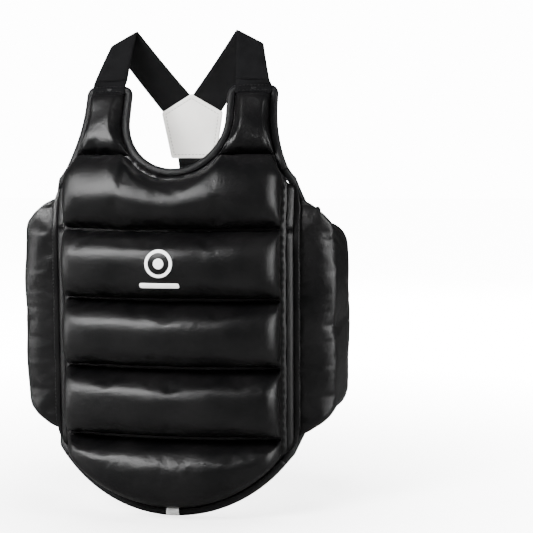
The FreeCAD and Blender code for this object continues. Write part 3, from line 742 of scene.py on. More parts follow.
REAR_IN, REAR_R, REAR_TOP, REAR_LOW = 20.0, 80.0, 388.0, 84.0
REAR_TURN = REAR_LONG - REAR_R
REAR_NEAR, REAR_FAR = 11.5, REAR_LONG - REAR_IN


def rear_top(u, inset=0.0, start=362.0):
    straight = start + (REAR_TOP - start) * u / REAR_TURN - inset
    r = REAR_R - inset
    bend = REAR_TOP - REAR_R + np.sqrt(np.maximum(r * r - np.maximum(u - REAR_TURN, 0) ** 2, 0))
    return np.where(u < REAR_TURN, straight, bend)


def rear_low(u, inset=0.0, start=132.0):
    straight = start + (REAR_LOW - start) * u / REAR_TURN + inset
    r = REAR_R - inset
    bend = REAR_LOW + REAR_R - np.sqrt(np.maximum(r * r - np.maximum(u - REAR_TURN, 0) ** 2, 0))
    return np.where(u < REAR_TURN, straight, bend)


def rear_spot(s, t):
    u = REAR_NEAR + (REAR_FAR - REAR_NEAR) * (s + 1) / 2
    low, top = rear_low(u, REAR_IN, 127.0), rear_top(u, REAR_IN, 366.0)
    return u, low + (top - low) * (t + 1) / 2


def rear_height(u, z, s, t, rise):
    n = (REAR_DEEP * rise * (1 - 0.2 * np.exp(-((u - REAR_NEAR) / 45) ** 2))
         + 1.1 * wobble(u, z, 80, 141) * rise)
    n += gathers(z, u - REAR_NEAR, 14, 12, 143, 1.0) * rise ** 0.4
    pulled = np.exp(-((z - 241) / 34) ** 4)
    n -= pulled * 2.6 * np.exp(-((REAR_FAR - u) / 26) ** 2) * (1 + np.cos((z - 241) * 2 * math.pi / 13.5
                                                                      + wobble(u, z, 40, 147))) * rise ** 0.3
    n += gathers(z, REAR_FAR - u, 14, 15, 145, 0.8) * rise ** 0.4
    return np.maximum(n, 0.2)


def build_pads(side, flip):
    made = pillow(f"{side}_side_pad", side_spot, wing_side, side_height,
                  rounded(13, 16, 0.62, 2.1, 2.0, 0.34), rounded(13, 60, 0.17, 2.2, 2.1), BLACK, flip,
                  swell={"pressure": 3.0, "cap": 3.0, "grow": 0.02})
    on_body(made, f"{side}_side", [f"{side}_side_foam"])
    made = pillow(f"{side}_rear_pad", rear_spot, wing_rear, rear_height, rounded(14, 24, 0.3, 2.1, 2.0, 0.6),
                  rounded(14, 54, 0.26, 2.2, 2.1), BLACK, flip,
                  swell={"pressure": 3.0, "cap": 3.0, "grow": 0.02})
    on_body(made, f"{side}_rear", [f"{side}_rear_foam"])


sides(build_pads)

SIDE_START, SIDE_END, REAR_START = 3.0, SIDE_LONG - 4.0, 4.0
side_u = np.linspace(SIDE_START, SIDE_END, 12)
SIDE_PANEL = np.vstack([np.stack([side_u, side_low(side_u, EDGE_IN)], -1),
                        np.stack([side_u, side_top(side_u, EDGE_IN)], -1)[::-1]])
REAR_PANEL = np.vstack([[(REAR_START, rear_top(REAR_START, EDGE_IN))],
                        arc((REAR_TURN, REAR_TOP - REAR_R), REAR_R - EDGE_IN, 90, 0, 16),
                        arc((REAR_TURN, REAR_LOW + REAR_R), REAR_R - EDGE_IN, 0, -90, 16),
                        [(REAR_START, rear_low(REAR_START, EDGE_IN))]])[::-1]


def wing_lining(u, z):
    """The wings' lining: softly filled between the sewn row near each fold and the edges."""
    puff = (1 - np.exp(-((u - 8) / 7) ** 2)) * ease((REAR_LONG - 8 - u) / 14)
    return -1.9 - 1.6 * puff - 0.4 * wobble(u, z, 60, 151)


def build_panels(side, flip):
    for part, outline, place in (("side", SIDE_PANEL, wing_side), ("rear", REAR_PANEL, wing_rear)):
        cover = slab(f"{side}_{part}_margins", outline, place, lambda a, b: LEATHER_N + 0.3 + 0 * a,
                     lambda a, b: 0.1 + 0 * a, 8.0, BLACK, flip)
        on_body(cover, f"{side}_{part}", [f"{side}_{part}_cover"])
        inner = slab(f"{side}_{part}_lining_sheet", outline, place, lambda a, b: 0.0 * a, wing_lining, 6.0,
                     WHITE, flip)
        on_body(inner, f"{side}_{part}", [f"{side}_{part}_lining"])


sides(build_panels)


# ---------------------------------------------------------------- cloth across the folds
def bend(first, middle, last, count):
    """Points on a smooth curve from first to last that leans towards middle."""
    t = np.linspace(0, 1, count).reshape((-1,) + (1,) * np.ndim(first))
    return (1 - t) ** 2 * first + 2 * t * (1 - t) * middle + t * t * last


def fold_strip(name, near, mid, far, low, top, outer, inner, material, flip, rows):
    """A strip of the panel that crosses a fold: near, mid and far place (z, n) before, at and after it."""
    rings = []
    for share in np.linspace(0, 1, rows):
        faces = []
        for n in (outer, inner):
            z = [a + (b - a) * share for a, b in zip(low, top)]
            middle = mid(z[0] + (z[1] - z[0]) / 2, n)
            curve = bend(near(z[0], n), middle, far(z[1], n), 9)
            faces.append(curve)
        rings.append(np.vstack([faces[0], faces[1][::-1]]))
    return sweep(name, rings, material, None, flip)


def front_mid(z, n):
    z = np.float64(z)
    return (chest(np.float64(SEAM[0]), z, np.float64(n)) + wing_side(np.float64(0), z, np.float64(n))) / 2


def rear_mid(z, n):
    z = np.float64(z)
    n = np.float64(n)
    return (wing_side(np.float64(SIDE_LONG), z, n) + wing_rear(np.float64(0), z, n)) / 2


def fold_line(near, far, tilt=0.0):
    """Start and end for a blend: the plan direction across a fold, turned so that it stays square to a
    seam that leans back by tilt above the lowest seam that leans."""
    start, end = near.copy(), far.copy()
    across = end - start
    across[2] = 0
    start[2] = SEAMS[4]
    if tilt:
        flat = across @ across
        across[2] = -tilt * across[1]
        across = across * flat / (across @ across)
    return start, start + across


def blended(obj, start, end, flip, nodes=(), slot=None):
    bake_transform(obj)
    if nodes:
        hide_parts(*nodes)
    return obj


CHEST_LEAN_AT_SEAM = (chest(np.float64(152), np.float64(430), np.float64(0))[1]
                      - chest(np.float64(152), np.float64(390), np.float64(0))[1]) / 40


def point(place, a, z, n):
    return place(np.float64(a), np.float64(z), np.float64(n))


FRONT_NEAR, FRONT_FAR = point(chest, PANEL_X + 1.5, 300, 0), point(wing_side, SIDE_START - 0.5, 300, 0)
REAR_NEAR_P, REAR_FAR_P = point(wing_side, SIDE_END + 0.5, 250, 0), point(wing_rear, REAR_START - 0.5, 250, 0)


def build_folds(side, flip):
    for kind, outer, inner, material, slot in (("cover", LEATHER_N + 0.3, 0.1, BLACK, "black_leather"),
                                               ("lining", 0.0, -1.9, WHITE, "white_vinyl")):
        for level, tilt in (("lower", 0.0), ("upper", CHEST_LEAN_AT_SEAM)):
            z_low = (float(hem_at(PANEL_X, EDGE_IN)), float(side_low(SIDE_START, EDGE_IN)))
            z_top = (float(ARM_Z - math.sqrt((ARM_R + EDGE_IN) ** 2 - (ARM_X - PANEL_X) ** 2)),
                     float(side_top(SIDE_START, EDGE_IN)))
            if level == "lower":
                z_top = (SEAMS[4], SEAMS[4])
            else:
                z_low = (SEAMS[4], SEAMS[4])
            strip = fold_strip(f"{side}_front_fold_{kind}_{level}",
                               lambda z, n: point(chest, PANEL_X - 0.5, z, n), front_mid,
                               lambda z, n: point(wing_side, SIDE_START + 0.5, z, n), z_low, z_top,
                               outer, inner, material, flip, 26 if level == "lower" else 10)
            start, end = fold_line(FRONT_NEAR, FRONT_FAR, tilt)
            blended(strip, start, end, flip, slot=slot)
        z_low = (float(side_low(SIDE_END, EDGE_IN)), float(rear_low(REAR_START, EDGE_IN)))
        z_top = (float(side_top(SIDE_END, EDGE_IN)), float(rear_top(REAR_START, EDGE_IN)))
        strip = fold_strip(f"{side}_rear_fold_{kind}", lambda z, n: point(wing_side, SIDE_END - 0.5, z, n),
                           rear_mid, lambda z, n: point(wing_rear, REAR_START + 0.5, z, n), z_low, z_top,
                           outer, inner, material, flip, 20)
        start, end = fold_line(REAR_NEAR_P, REAR_FAR_P)
        blended(strip, start, end, flip, slot=slot)


sides(build_folds)


def welt(name, place, start, wide, tall, low, top, flip):
    """A stitched ridge of doubled cloth that fades out at its ends."""
    rings = []
    around = np.linspace(0, math.pi, 11)
    for z in np.linspace(low, top, 60):
        fade = max(math.sqrt(max(min(1.0, (z - low) / 26, (top - z) / 26), 0)), 0.12)
        bumpy = 1 + 0.07 * float(wobble(np.float64(z), np.float64(0), 17, 163))
        high = tall * fade * bumpy
        half = wide / 2
        mid = start + half
        shape = [(mid + half * np.sign(math.cos(a)) * abs(math.cos(a)) ** 0.6, high * math.sin(a) ** 0.7)
                 for a in around]
        rings.append([point(place, u, z, 1.0 + n) for u, n in shape] + [point(place, mid, z, 0.6)])
    return sweep(name, rings, BLACK, None, flip)


def build_welts(side, flip):
    ridge = welt(f"{side}_front_ridge", wing_side, 3.2, 5.6, 8.4, 90, 425, flip)
    on_body(ridge, f"{side}_side", [f"{side}_front_welt"])
    z = np.linspace(112, 402, 80)
    for shift, row in ((4.2, "a"), (7.8, "b")):
        thread = panel_row(f"{side}_front_ridge_stitch_{row}", wing_side, shift, z, 8.9, THREAD, flip)
        on_body(thread, f"{side}_side")
    ridge = welt(f"{side}_rear_ridge", wing_rear, 3.2, 5.6, 8.4, 158, 345, flip)
    on_body(ridge, f"{side}_rear", [f"{side}_rear_welt"])


sides(build_welts)

# ---------------------------------------------------------------- binding
TAPE_SHAPE = [(10.2, 1.4), (10.0, 2.6), (8.6, 3.8), (6.4, 4.5), (4.0, 4.5), (1.9, 3.8), (0.5, 2.4),
              (0.0, 0.6), (0.4, -1.2), (1.6, -2.5), (3.6, -3.1), (6.6, -3.2), (9.4, -3.1), (10.2, -2.2)]
TAPE_W, TAPE_N = np.array(TAPE_SHAPE).T


def tape_uv(rings):
    """Lengthwise map for a swept tape: across it, then along it."""
    rings = np.asarray(rings, float)
    run = np.concatenate([[0], np.cumsum(np.linalg.norm(np.diff(rings.mean(1), axis=0), axis=1))])
    ring = rings[len(rings) // 2]
    girth = np.concatenate([[0], np.cumsum(np.linalg.norm(np.diff(ring, axis=0), axis=1))])
    return np.stack(np.broadcast_arrays(girth[None, :], run[:, None]), -1)


def chest_rings(points, inward):
    """The tape's section at each place of a path on the chest panel."""
    a = points[:, None, 0] + inward[:, None, 0] * TAPE_W
    b = points[:, None, 1] + inward[:, None, 1] * TAPE_W
    return chest(a, b, TAPE_N + 0 * a)


def wing_rings(place, u, z, inward):
    u, z = np.asarray(u, float), np.asarray(z, float)
    a = u[:, None] + inward[:, None, 0] * TAPE_W
    b = z[:, None] + inward[:, None, 1] * TAPE_W
    return place(a, b, TAPE_N + 0 * a)


def hem_path(start, stop, count=50):
    x = np.linspace(start, stop, count)
    z = hem_at(x)
    way = np.stack([-x, HEM_R - z], -1) / HEM_R
    return np.stack([x, z], -1), way


def tube(name, rings, flip=False, material=TAPE):
    return sweep(name, rings, material, tape_uv(rings), flip)


half_path, half_in = tape_path(PANEL_X)
whole_path = np.vstack([half_path, half_path[:-1][::-1] * (-1, 1)])
whole_in = np.vstack([half_in, half_in[:-1][::-1] * (-1, 1)])
upper_rings = chest_rings(whole_path, whole_in)
on_body(tube("neck_and_armhole_tape", upper_rings), "chest", ["neck_binding"])

side_top_in = np.tile((0.0, -WING_STEEP), (len(side_u), 1))
side_low_in = -side_top_in
side_top_rings = wing_rings(wing_side, side_u, side_top(side_u), side_top_in)
side_low_rings = wing_rings(wing_side, side_u, side_low(side_u), side_low_in)
rear_path = np.vstack([[(REAR_START, float(rear_top(REAR_START))), (30, float(rear_top(30)))],
                       arc((REAR_TURN, REAR_TOP - REAR_R), REAR_R, 90, 0, 22),
                       arc((REAR_TURN, REAR_LOW + REAR_R), REAR_R, 0, -90, 22),
                       [(30, float(rear_low(30))), (REAR_START, float(rear_low(REAR_START)))]])
middle = np.array([(REAR_TURN, REAR_TOP - REAR_R)] * 24 + [(REAR_TURN, REAR_LOW + REAR_R)] * 24)
rear_in = middle - rear_path
rear_in[:, 0] = np.maximum(rear_in[:, 0] * (rear_path[:, 0] > REAR_TURN), -1e9)
rear_in[rear_path[:, 0] <= REAR_TURN, 0] = 0
rear_in /= np.linalg.norm(rear_in, axis=1)[:, None]
rear_path, rear_in = dense(rear_path, rear_in, 8.0)
rear_rings = wing_rings(wing_rear, rear_path[:, 0], rear_path[:, 1], rear_in)


def between(first, middle, last):
    return bend(np.asarray(first), np.asarray(middle), np.asarray(last), 9)


def build_binding(side, flip):
    on_body(tube(f"{side}_side_top_tape", side_top_rings, flip), f"{side}_side",
            [f"{side}_side_top_binding"])
    on_body(tube(f"{side}_side_low_tape", side_low_rings, flip), f"{side}_side",
            [f"{side}_side_low_binding"])
    on_body(tube(f"{side}_rear_tape", rear_rings, flip), f"{side}_rear",
            [f"{side}_rear_binding"])
    points, inward = hem_path(9.0, PANEL_X)
    hem_rings = chest_rings(points, inward)
    nodes = ["hem_binding"] if side == "left" else []
    on_body(tube(f"{side}_hem_tape", hem_rings, flip), "chest", nodes)
    # across the folds
    seam_z = ARM_Z - math.sqrt(ARM_R ** 2 - (ARM_X - SEAM[0]) ** 2)
    way = np.array([(SEAM[0] - ARM_X, seam_z - ARM_Z)]) / ARM_R
    at_seam = chest_rings(np.array([(SEAM[0], seam_z)]), way)[0]
    at_wing = wing_rings(wing_side, [0.0], [float(side_top(0))], side_top_in[:1])[0]
    start, end = fold_line(FRONT_NEAR, FRONT_FAR, CHEST_LEAN_AT_SEAM)
    rings = between(upper_rings[0], (at_seam + at_wing) / 2, side_top_rings[0])
    blended(tube(f"{side}_front_fold_top_tape", rings, flip), start, end, flip,
            slot="black_binding")
    points, inward = hem_path(SEAM[0], SEAM[0], 1)
    at_seam = chest_rings(points, inward)[0]
    at_wing = wing_rings(wing_side, [0.0], [float(side_low(0))], side_low_in[:1])[0]
    rings = between(hem_rings[-1], (at_seam + at_wing) / 2, side_low_rings[0])
    start, end = fold_line(FRONT_NEAR, FRONT_FAR)
    blended(tube(f"{side}_front_fold_low_tape", rings, flip), start, end, flip,
            slot="black_binding")
    start, end = fold_line(REAR_NEAR_P, REAR_FAR_P)
    for name, first, last, edge, inward in (
            ("top", side_top_rings[-1], rear_rings[0], side_top, side_top_in),
            ("low", side_low_rings[-1], rear_rings[-1], side_low, side_low_in)):
        at_side = wing_rings(wing_side, [SIDE_LONG], [float(edge(SIDE_LONG))], inward[:1])[0]
        rings = between(first, at_side, last)
        blended(tube(f"{side}_rear_fold_{name}_tape", rings, flip),
                start, end, flip, slot="black_binding")
    # sewn rows on both faces of the tape
    top_path = np.stack([side_u, side_top(side_u)], -1)
    low_path = np.stack([side_u, side_low(side_u)], -1)
    for face, n in (("out", 3.75), ("in", -3.15)):
        inside = n < 0
        for name, place, points, way, body in (
                ("side_top", wing_side, top_path, side_top_in, f"{side}_side"),
                ("side_low", wing_side, low_path, side_low_in, f"{side}_side"),
                ("rear", wing_rear, rear_path, rear_in, f"{side}_rear"),
                ("hem", chest, *hem_path(11.0, PANEL_X), "chest"),
                ("edge", chest, half_path, half_in, "chest")):
            spot = points + way * 8.7
            row = panel_row(f"{side}_{name}_tape_stitch_{face}", place, spot[:, 0], spot[:, 1], n, THREAD,
                            flip, inside)
            on_body(row, body)


sides(build_binding)
points, inward = hem_path(-8.4, 8.4, 9)
on_body(tube("hem_pull_tab", chest_rings(points, inward), material=WHITE), "chest", ["hem_tab"])

# ---------------------------------------------------------------- waist belt
BELT_LOW, BELT_WIDE, BELT_DROP = 211.0, 60.0, 12.0
LEFT_Y, RIGHT_Y = 166.68, 163.08


def ribbon(name, path, low, high, thick, material, flip=False, cols=11, corner=None):
    """Upright webbing along a plan path; corner rounds its last end."""
    path = np.asarray(path, float)
    run = run_length(path)
    ahead = np.gradient(path, axis=0)
    ahead /= np.linalg.norm(ahead, axis=1)[:, None]
    out = np.stack([ahead[:, 1], -ahead[:, 0]], -1)
    share, edge = tape_edge(cols)
    rings, maps = [], []
    for k, (spot, side_way) in enumerate(zip(path, out)):
        bottom, top = low, high
        if corner:
            left = corner - (run[-1] - run[k])
            if left > 0:
                cut = corner - math.sqrt(max(corner ** 2 - left ** 2, 0))
                bottom, top = low + cut, high - cut
        z = bottom + (top - bottom) * share
        half = thick / 2 * edge
        front = np.stack([spot[0] + side_way[0] * half, spot[1] + side_way[1] * half, z], -1)
        rear = np.stack([spot[0] - side_way[0] * half, spot[1] - side_way[1] * half, z], -1)
        rings.append(np.vstack([front, rear[::-1]]))
        maps.append(np.stack([np.concatenate([z, z[::-1]]), np.full(2 * cols, run[k])], -1))
    return sweep(name, rings, material, np.array(maps), flip)


def rear_plan(u, n):
    return point(wing_rear, u, 0, n)[:2]


def line(a, b, count):
    return np.array(a) + (np.array(b) - np.array(a)) * np.linspace(0, 1, count)[:, None]


def smooth_path(points, count):
    """A curve through the points' middle parts, by repeated corner cutting."""
    points = np.asarray(points, float)
    for _ in range(count):
        mixed = [points[0]]
        for a, b in zip(points, points[1:]):
            mixed += [a * 0.75 + b * 0.25, a * 0.25 + b * 0.75]
        points = np.array(mixed + [points[-1]])
    return points


WEB = 1.9
LEFT_HIGH = BELT_LOW + BELT_WIDE
RIGHT_LOW = BELT_LOW - BELT_DROP
RIGHT_HIGH = RIGHT_LOW + BELT_WIDE
LEFT_MID, RIGHT_MID = (BELT_LOW + LEFT_HIGH) / 2, (RIGHT_LOW + RIGHT_HIGH) / 2
CREASE_X = 57.0
PATCH_THICK, PATCH_INSET = 0.55, 4.4


def left_band(name, path, **more):
    return ribbon(name, path, BELT_LOW, LEFT_HIGH, WEB, WEBBING, **more)


def right_band(name, path, **more):
    return ribbon(name, path, RIGHT_LOW, RIGHT_HIGH, WEB, WEBBING, True, **more)


def patch(name, start, stop, y, low, high, flip, corner):
    """A hook or loop patch, set in from the belt's edges."""
    return ribbon(name, line((start, y), (stop, y), 20), low + PATCH_INSET, high - PATCH_INSET, PATCH_THICK,
                  NAP, flip, corner=corner)


wrap = smooth_path([rear_plan(REAR_LONG - 18, 5.5), rear_plan(REAR_LONG - 8, 5.5), rear_plan(REAR_LONG, 5.5),
                    rear_plan(REAR_LONG + 1.6, 4.0), rear_plan(REAR_LONG + 1.6, -1.0),
                    rear_plan(REAR_LONG + 1.4, -4.0)], 3)
on_body(left_band("left_belt_wrap", wrap), "left_rear", ["left_belt_anchor"])
turn_start, root_x = rear_plan(REAR_LONG + 1.4, -4.0), 141.5
turn = smooth_path([turn_start, turn_start + (-0.6, -2.0) * np.array((1, -0.6)), (root_x + 3, LEFT_Y),
                    (root_x, LEFT_Y)], 2)
blended(left_band("left_belt_turn_cloth", turn),
        np.array((turn_start[0] - 0.6, LEFT_Y, LEFT_MID)), np.array((root_x + 1.2, LEFT_Y, LEFT_MID)), False,
        slot="webbing")
sag = 0.35


def belt_line(start, stop, y, count=60, seed=171):
    x = np.linspace(start, stop, count)
    fade = ease(np.abs(x - start) / 20) * ease(np.abs(x - stop) / 20)
    return np.stack([x, y + sag * wobble(x, 0 * x, 90, seed) * fade], -1)


on_body(left_band("left_belt_run", belt_line(root_x, CREASE_X + 3, LEFT_Y)), "left_belt_root", ["left_belt"])
crease = np.array([(CREASE_X + 3, LEFT_Y), (CREASE_X + 1.6, LEFT_Y + 0.1), (CREASE_X + 0.6, LEFT_Y + 0.55),
                   (CREASE_X, LEFT_Y + 0.8), (CREASE_X - 0.6, LEFT_Y + 0.55), (CREASE_X - 1.6, LEFT_Y + 0.1),
                   (CREASE_X - 3, LEFT_Y)])
blended(left_band("left_belt_crease", crease),
        np.array((CREASE_X + 2.4, LEFT_Y, LEFT_MID)), np.array((CREASE_X - 2.4, LEFT_Y, LEFT_MID)), False,
        slot="webbing")
on_body(left_band("left_belt_outer_run", belt_line(CREASE_X - 3, -73.8, LEFT_Y, 70, 173), corner=3.0),
        "left_belt_end", ["left_belt_tail"])
on_body(patch("hook_patch_pile", -8.4, -69.6, 165.35, BELT_LOW, LEFT_HIGH, False, 3.0), "left_belt_end",
        ["hook_patch"])
inner = [rear_plan(REAR_LONG - 35.5, -4.4), rear_plan(REAR_LONG - 18, -4.4), rear_plan(REAR_LONG + 1, -4.4)]
inner = np.vstack([line(inner[0], inner[1], 10), line(inner[1], inner[2], 10)[1:]])
on_body(right_band("right_belt_anchor_cloth", inner), "right_rear", ["right_belt_anchor"])
turn_start = rear_plan(REAR_LONG + 1, -4.4)
turn = smooth_path([turn_start, turn_start + (-0.5, 1.2), (root_x + 4, RIGHT_Y), (root_x, RIGHT_Y)], 2)
blended(right_band("right_belt_turn_cloth", turn),
        np.array((turn_start[0] - 0.4, RIGHT_Y, RIGHT_MID)), np.array((root_x + 1.2, RIGHT_Y, RIGHT_MID)),
        True, slot="webbing")
on_body(right_band("right_belt_run", belt_line(root_x, 0.2, RIGHT_Y, 90, 175), corner=12.0), "right_belt_end",
        ["right_belt"])
on_body(patch("loop_patch_pile", 65.6, 4.4, 164.4, RIGHT_LOW, RIGHT_HIGH, True, 9.0), "right_belt_end",
        ["loop_patch"])


def upright_row(name, x, y, low, high, away, body, flip=False, place=None):
    z = np.linspace(low, high, 30)
    path = np.stack([x + 0 * z, y + 0 * z, z], -1)
    return on_body(stitches(name, path, np.tile(away, (30, 1)), THREAD, flip), body)


def flat_row(name, start, stop, y, z, away, body, flip=False):
    x = np.linspace(start, stop, 40)
    path = np.stack([x, y + 0 * x, z + 0 * x], -1)
    return on_body(stitches(name, path, np.tile(away, (40, 1)), THREAD, flip), body)


BACKWARDS = np.array((0.0, 1.0, 0.0))
for k, x in enumerate((-71, -6)):
    upright_row(f"outer_run_patch_row_{k}", x, LEFT_Y + WEB / 2, BELT_LOW + 5, LEFT_HIGH - 5, BACKWARDS,
                "left_belt_end")
for k, z in enumerate((BELT_LOW + 5, LEFT_HIGH - 5)):
    flat_row(f"outer_run_patch_edge_{k}", -71, -6, LEFT_Y + WEB / 2, z, BACKWARDS, "left_belt_end")
for k, u in enumerate((REAR_LONG - 16, REAR_LONG - 5)):
    z = np.linspace(BELT_LOW + 3, LEFT_HIGH - 3, 30)
    row = panel_row(f"left_wrap_row_{k}", wing_rear, u, z, 5.5 + WEB / 2, THREAD)
    on_body(row, "left_rear")
for k, u in enumerate((REAR_LONG - 33, REAR_LONG - 15)):
    z = np.linspace(RIGHT_LOW + 3, RIGHT_HIGH - 3, 30)
    row = panel_row(f"right_anchor_row_{k}", wing_rear, u, z, -4.4 - WEB / 2, THREAD, True, True)
    on_body(row, "right_rear")

# ---------------------------------------------------------------- harness
STRAP_HALF, STRAP_X, TAB_LIFT = 22.5, 95.5, 5.4
CREASE_IN, CREASE_OUT = np.array((68.0, 24.0, 628.0)), np.array((103.0, 24.0, 609.0))
YOKE_WIDE, YOKE_TALL, YOKE_LOW, YOKE_Y, YOKE_SHOULDER, YOKE_FOOT = 84.0, 88.0, 456.0, 64.0, 63.0, 31.0
YOKE_TILT = math.radians(8)


def yoke_place(a, b, n):
    a, b, n = np.broadcast_arrays(a, b, n)
    return np.stack([-a, YOKE_Y - b * math.sin(YOKE_TILT) + n * math.cos(YOKE_TILT),
                     YOKE_LOW + b * math.cos(YOKE_TILT) + n * math.sin(YOKE_TILT)], -1).astype(float)


def strip_between(name, left, right, material, thick=1.9, cols=11, bow=0.0, flip=False, start_run=0.0):
    """Webbing between two edge lines, with its section square to them."""
    left, right = np.asarray(left, float), np.asarray(right, float)
    middle = (left + right) / 2
    run = start_run + run_length(middle)
    ahead = np.gradient(middle, axis=0)
    across = right - left
    out = np.cross(across, ahead)
    out /= np.linalg.norm(out, axis=1)[:, None]
    share, edge = tape_edge(cols)
    rings, maps = [], []
    for k in range(len(left)):
        core = left[k] + across[k] * share[:, None]
        core = core + out[k] * (bow * (1 - (share * 2 - 1) ** 2))[:, None]
        half = out[k] * (thick / 2 * edge)[:, None]
        rings.append(np.vstack([core + half, (core - half)[::-1]]))
        wide = share * np.linalg.norm(across[k])
        maps.append(np.stack([np.concatenate([wide, wide[::-1]]), np.full(2 * cols, run[k])], -1))
    return sweep(name, rings, material, np.array(maps), flip)


side_start, side_end = np.array((-YOKE_WIDE / 2, YOKE_SHOULDER)), np.array((0, YOKE_TALL))
side_run = (side_end - side_start) / np.linalg.norm(side_end - side_start)
side_mid = (side_start + side_end) / 2
tuck = np.array((side_run[1], -side_run[0])) * 2.8
REAR_OUT = yoke_place(*(side_mid - side_run * STRAP_HALF + tuck), 0.0)
REAR_INNER = yoke_place(*(side_mid + side_run * STRAP_HALF + tuck), 0.0)
RISER_Z = 556.0
tab_in = chest(np.float64(STRAP_X - STRAP_HALF), np.float64(553.0), np.float64(TAB_LIFT))
tab_out = chest(np.float64(STRAP_X + STRAP_HALF), np.float64(553.0), np.float64(TAB_LIFT))
RISER_Y = float(chest(np.float64(STRAP_X), np.float64(553.0), np.float64(TAB_LIFT))[1])
RISER_IN = np.array((STRAP_X - STRAP_HALF, RISER_Y, RISER_Z))
RISER_OUT = np.array((STRAP_X + STRAP_HALF, RISER_Y, RISER_Z))


def strap_edges(start, crease, stop, away):
    """One edge of a strap from the tab over its fold to the yoke, slightly bowed, the fold rounded."""
    up = [start + (crease - start) * t for t in np.linspace(0, 0.955, 26)]
    over = bend(crease + (start - crease) * 0.045, crease, crease + (stop - crease) * 0.035, 9)
    down = [crease + (stop - crease) * t for t in np.linspace(0.035, 1, 34)]
    up = [p + away * 1.6 * math.sin(math.pi * k / 25) for k, p in enumerate(up)]
    down = [p + np.array((0, 0, -1)) * 1.2 * math.sin(math.pi * k / 33) for k, p in enumerate(down)]
    return np.array(up + list(over[1:-1]) + down)


def build_straps(side, flip):
    edge_in = strap_edges(RISER_IN, CREASE_IN, REAR_INNER, np.array((0, -1.0, 0)))
    edge_out = strap_edges(RISER_OUT, CREASE_OUT, REAR_OUT, np.array((0, -1.0, 0)))
    z = np.linspace(540.5, 551.5, 6)
    low_in = chest(STRAP_X - STRAP_HALF + 0 * z, z, TAB_LIFT + 0 * z)
    low_out = chest(STRAP_X + STRAP_HALF + 0 * z, z, TAB_LIFT + 0 * z)
    on_body(strip_between(f"{side}_strap_sewn_end", low_in, low_out, WEBBING, flip=flip, bow=-1.4), "chest",
            [f"{side}_strap_end"])
    turn_in = bend(low_in[-1], RISER_IN * 0.5 + tab_in * 0.5, edge_in[2], 8)
    turn_out = bend(low_out[-1], RISER_OUT * 0.5 + tab_out * 0.5, edge_out[2], 8)
    piece = strip_between(f"{side}_strap_root", turn_in, turn_out, WEBBING, flip=flip, bow=-1.4,
                          start_run=11.0)
    blended(piece, np.array((0, RISER_Y, 552.0)), np.array((0, RISER_Y + 3, 560.5)), flip,
            slot="webbing")
    on_body(strip_between(f"{side}_strap_run", edge_in[2:], edge_out[2:], WEBBING, flip=flip, start_run=20.0),
            "harness", [f"{side}_strap"])
    for k, height in enumerate((543.2, 549.6)):
        x = np.linspace(STRAP_X - STRAP_HALF + 2.5, STRAP_X + STRAP_HALF - 2.5, 30)
        bow = 1.4 * (1 - ((x - STRAP_X) / STRAP_HALF) ** 2)
        row = panel_row(f"{side}_strap_end_row_{k}", chest, x, height + 0 * x, TAB_LIFT + WEB / 2 + bow,
                        THREAD, flip)
        on_body(row, "chest")


sides(build_straps)


def rounded_outline(corners, radius, count=5):
    corners = np.asarray(corners, float)
    points = []
    for k, corner in enumerate(corners):
        before, after = corners[k - 1], corners[(k + 1) % len(corners)]
        a = corner + (before - corner) / np.linalg.norm(before - corner) * radius
        b = corner + (after - corner) / np.linalg.norm(after - corner) * radius
        points += list(bend(a, corner, b, count))
    return np.array(points)


PENTAGON = [(-YOKE_FOOT, 0), (YOKE_FOOT, 0), (YOKE_WIDE / 2, YOKE_SHOULDER), (0, YOKE_TALL),
            (-YOKE_WIDE / 2, YOKE_SHOULDER)]
yoke_line = rounded_outline(PENTAGON, 3.0)


def from_edge(outline, a, b):
    outline = np.asarray(outline, float)
    away = np.full(np.shape(a), 1e9)
    for p, q in zip(outline, np.roll(outline, -1, 0)):
        d = q - p
        t = np.clip(((a - p[0]) * d[0] + (b - p[1]) * d[1]) / max(d @ d, 1e-9), 0, 1)
        away = np.minimum(away, np.hypot(a - p[0] - t * d[0], b - p[1] - t * d[1]))
    return away


def yoke_puff(a, b):
    away = from_edge(yoke_line, a, b)
    groove = np.exp(-((away - 5) / 1.6) ** 2)
    return 0.9 * ease(away / 14) + 0.5 * ease(away / 3) - 0.5 * groove + 0.3 * wobble(a, b, 34, 181)


def yoke_sheet(name, sign, material, node):
    top = (lambda a, b: 2.2 + yoke_puff(a, b)) if sign > 0 else (lambda a, b: -0.7 + 0 * a)
    bottom = (lambda a, b: 0.7 + 0 * a) if sign > 0 else (lambda a, b: -2.2 - yoke_puff(a, b))
    sheet = slab(name, yoke_line, yoke_place, top, bottom, 2.2, material)
    on_body(sheet, "harness", [node])
    inset = []
    nodes = np.asarray(PENTAGON, float)
    centre = nodes.mean(0)
    for k, corner in enumerate(nodes):
        one = corner - nodes[k - 1]
        two = nodes[(k + 1) % 5] - corner
        n1 = np.array((-one[1], one[0])) / np.linalg.norm(one)
        n2 = np.array((-two[1], two[0])) / np.linalg.norm(two)
        inset.append(corner + (n1 + n2) / (1 + n1 @ n2) * 5.0)
    ring = np.vstack([line(p, q, 24)[:-1] for p, q in zip(inset, inset[1:] + inset[:1])] + [inset[:1]])
    level = np.array([2.2 + float(yoke_puff(np.float64(a), np.float64(b))) for a, b in ring])
    # on the ivory face the border row is in grey thread, darkened in part as painted stitch shadow
    row = panel_row(f"{name}_border_row", yoke_place, ring[:, 0], ring[:, 1], level * sign,
                    THREAD if sign > 0 else GREY_THREAD_STITCH_SHADE, False, sign < 0)
    on_body(row, "harness")
    return sheet


yoke_sheet("yoke_outer_sheet", 1, BLACK, "yoke_outer")
yoke_sheet("yoke_inner_sheet", -1, IVORY, "yoke_inner")

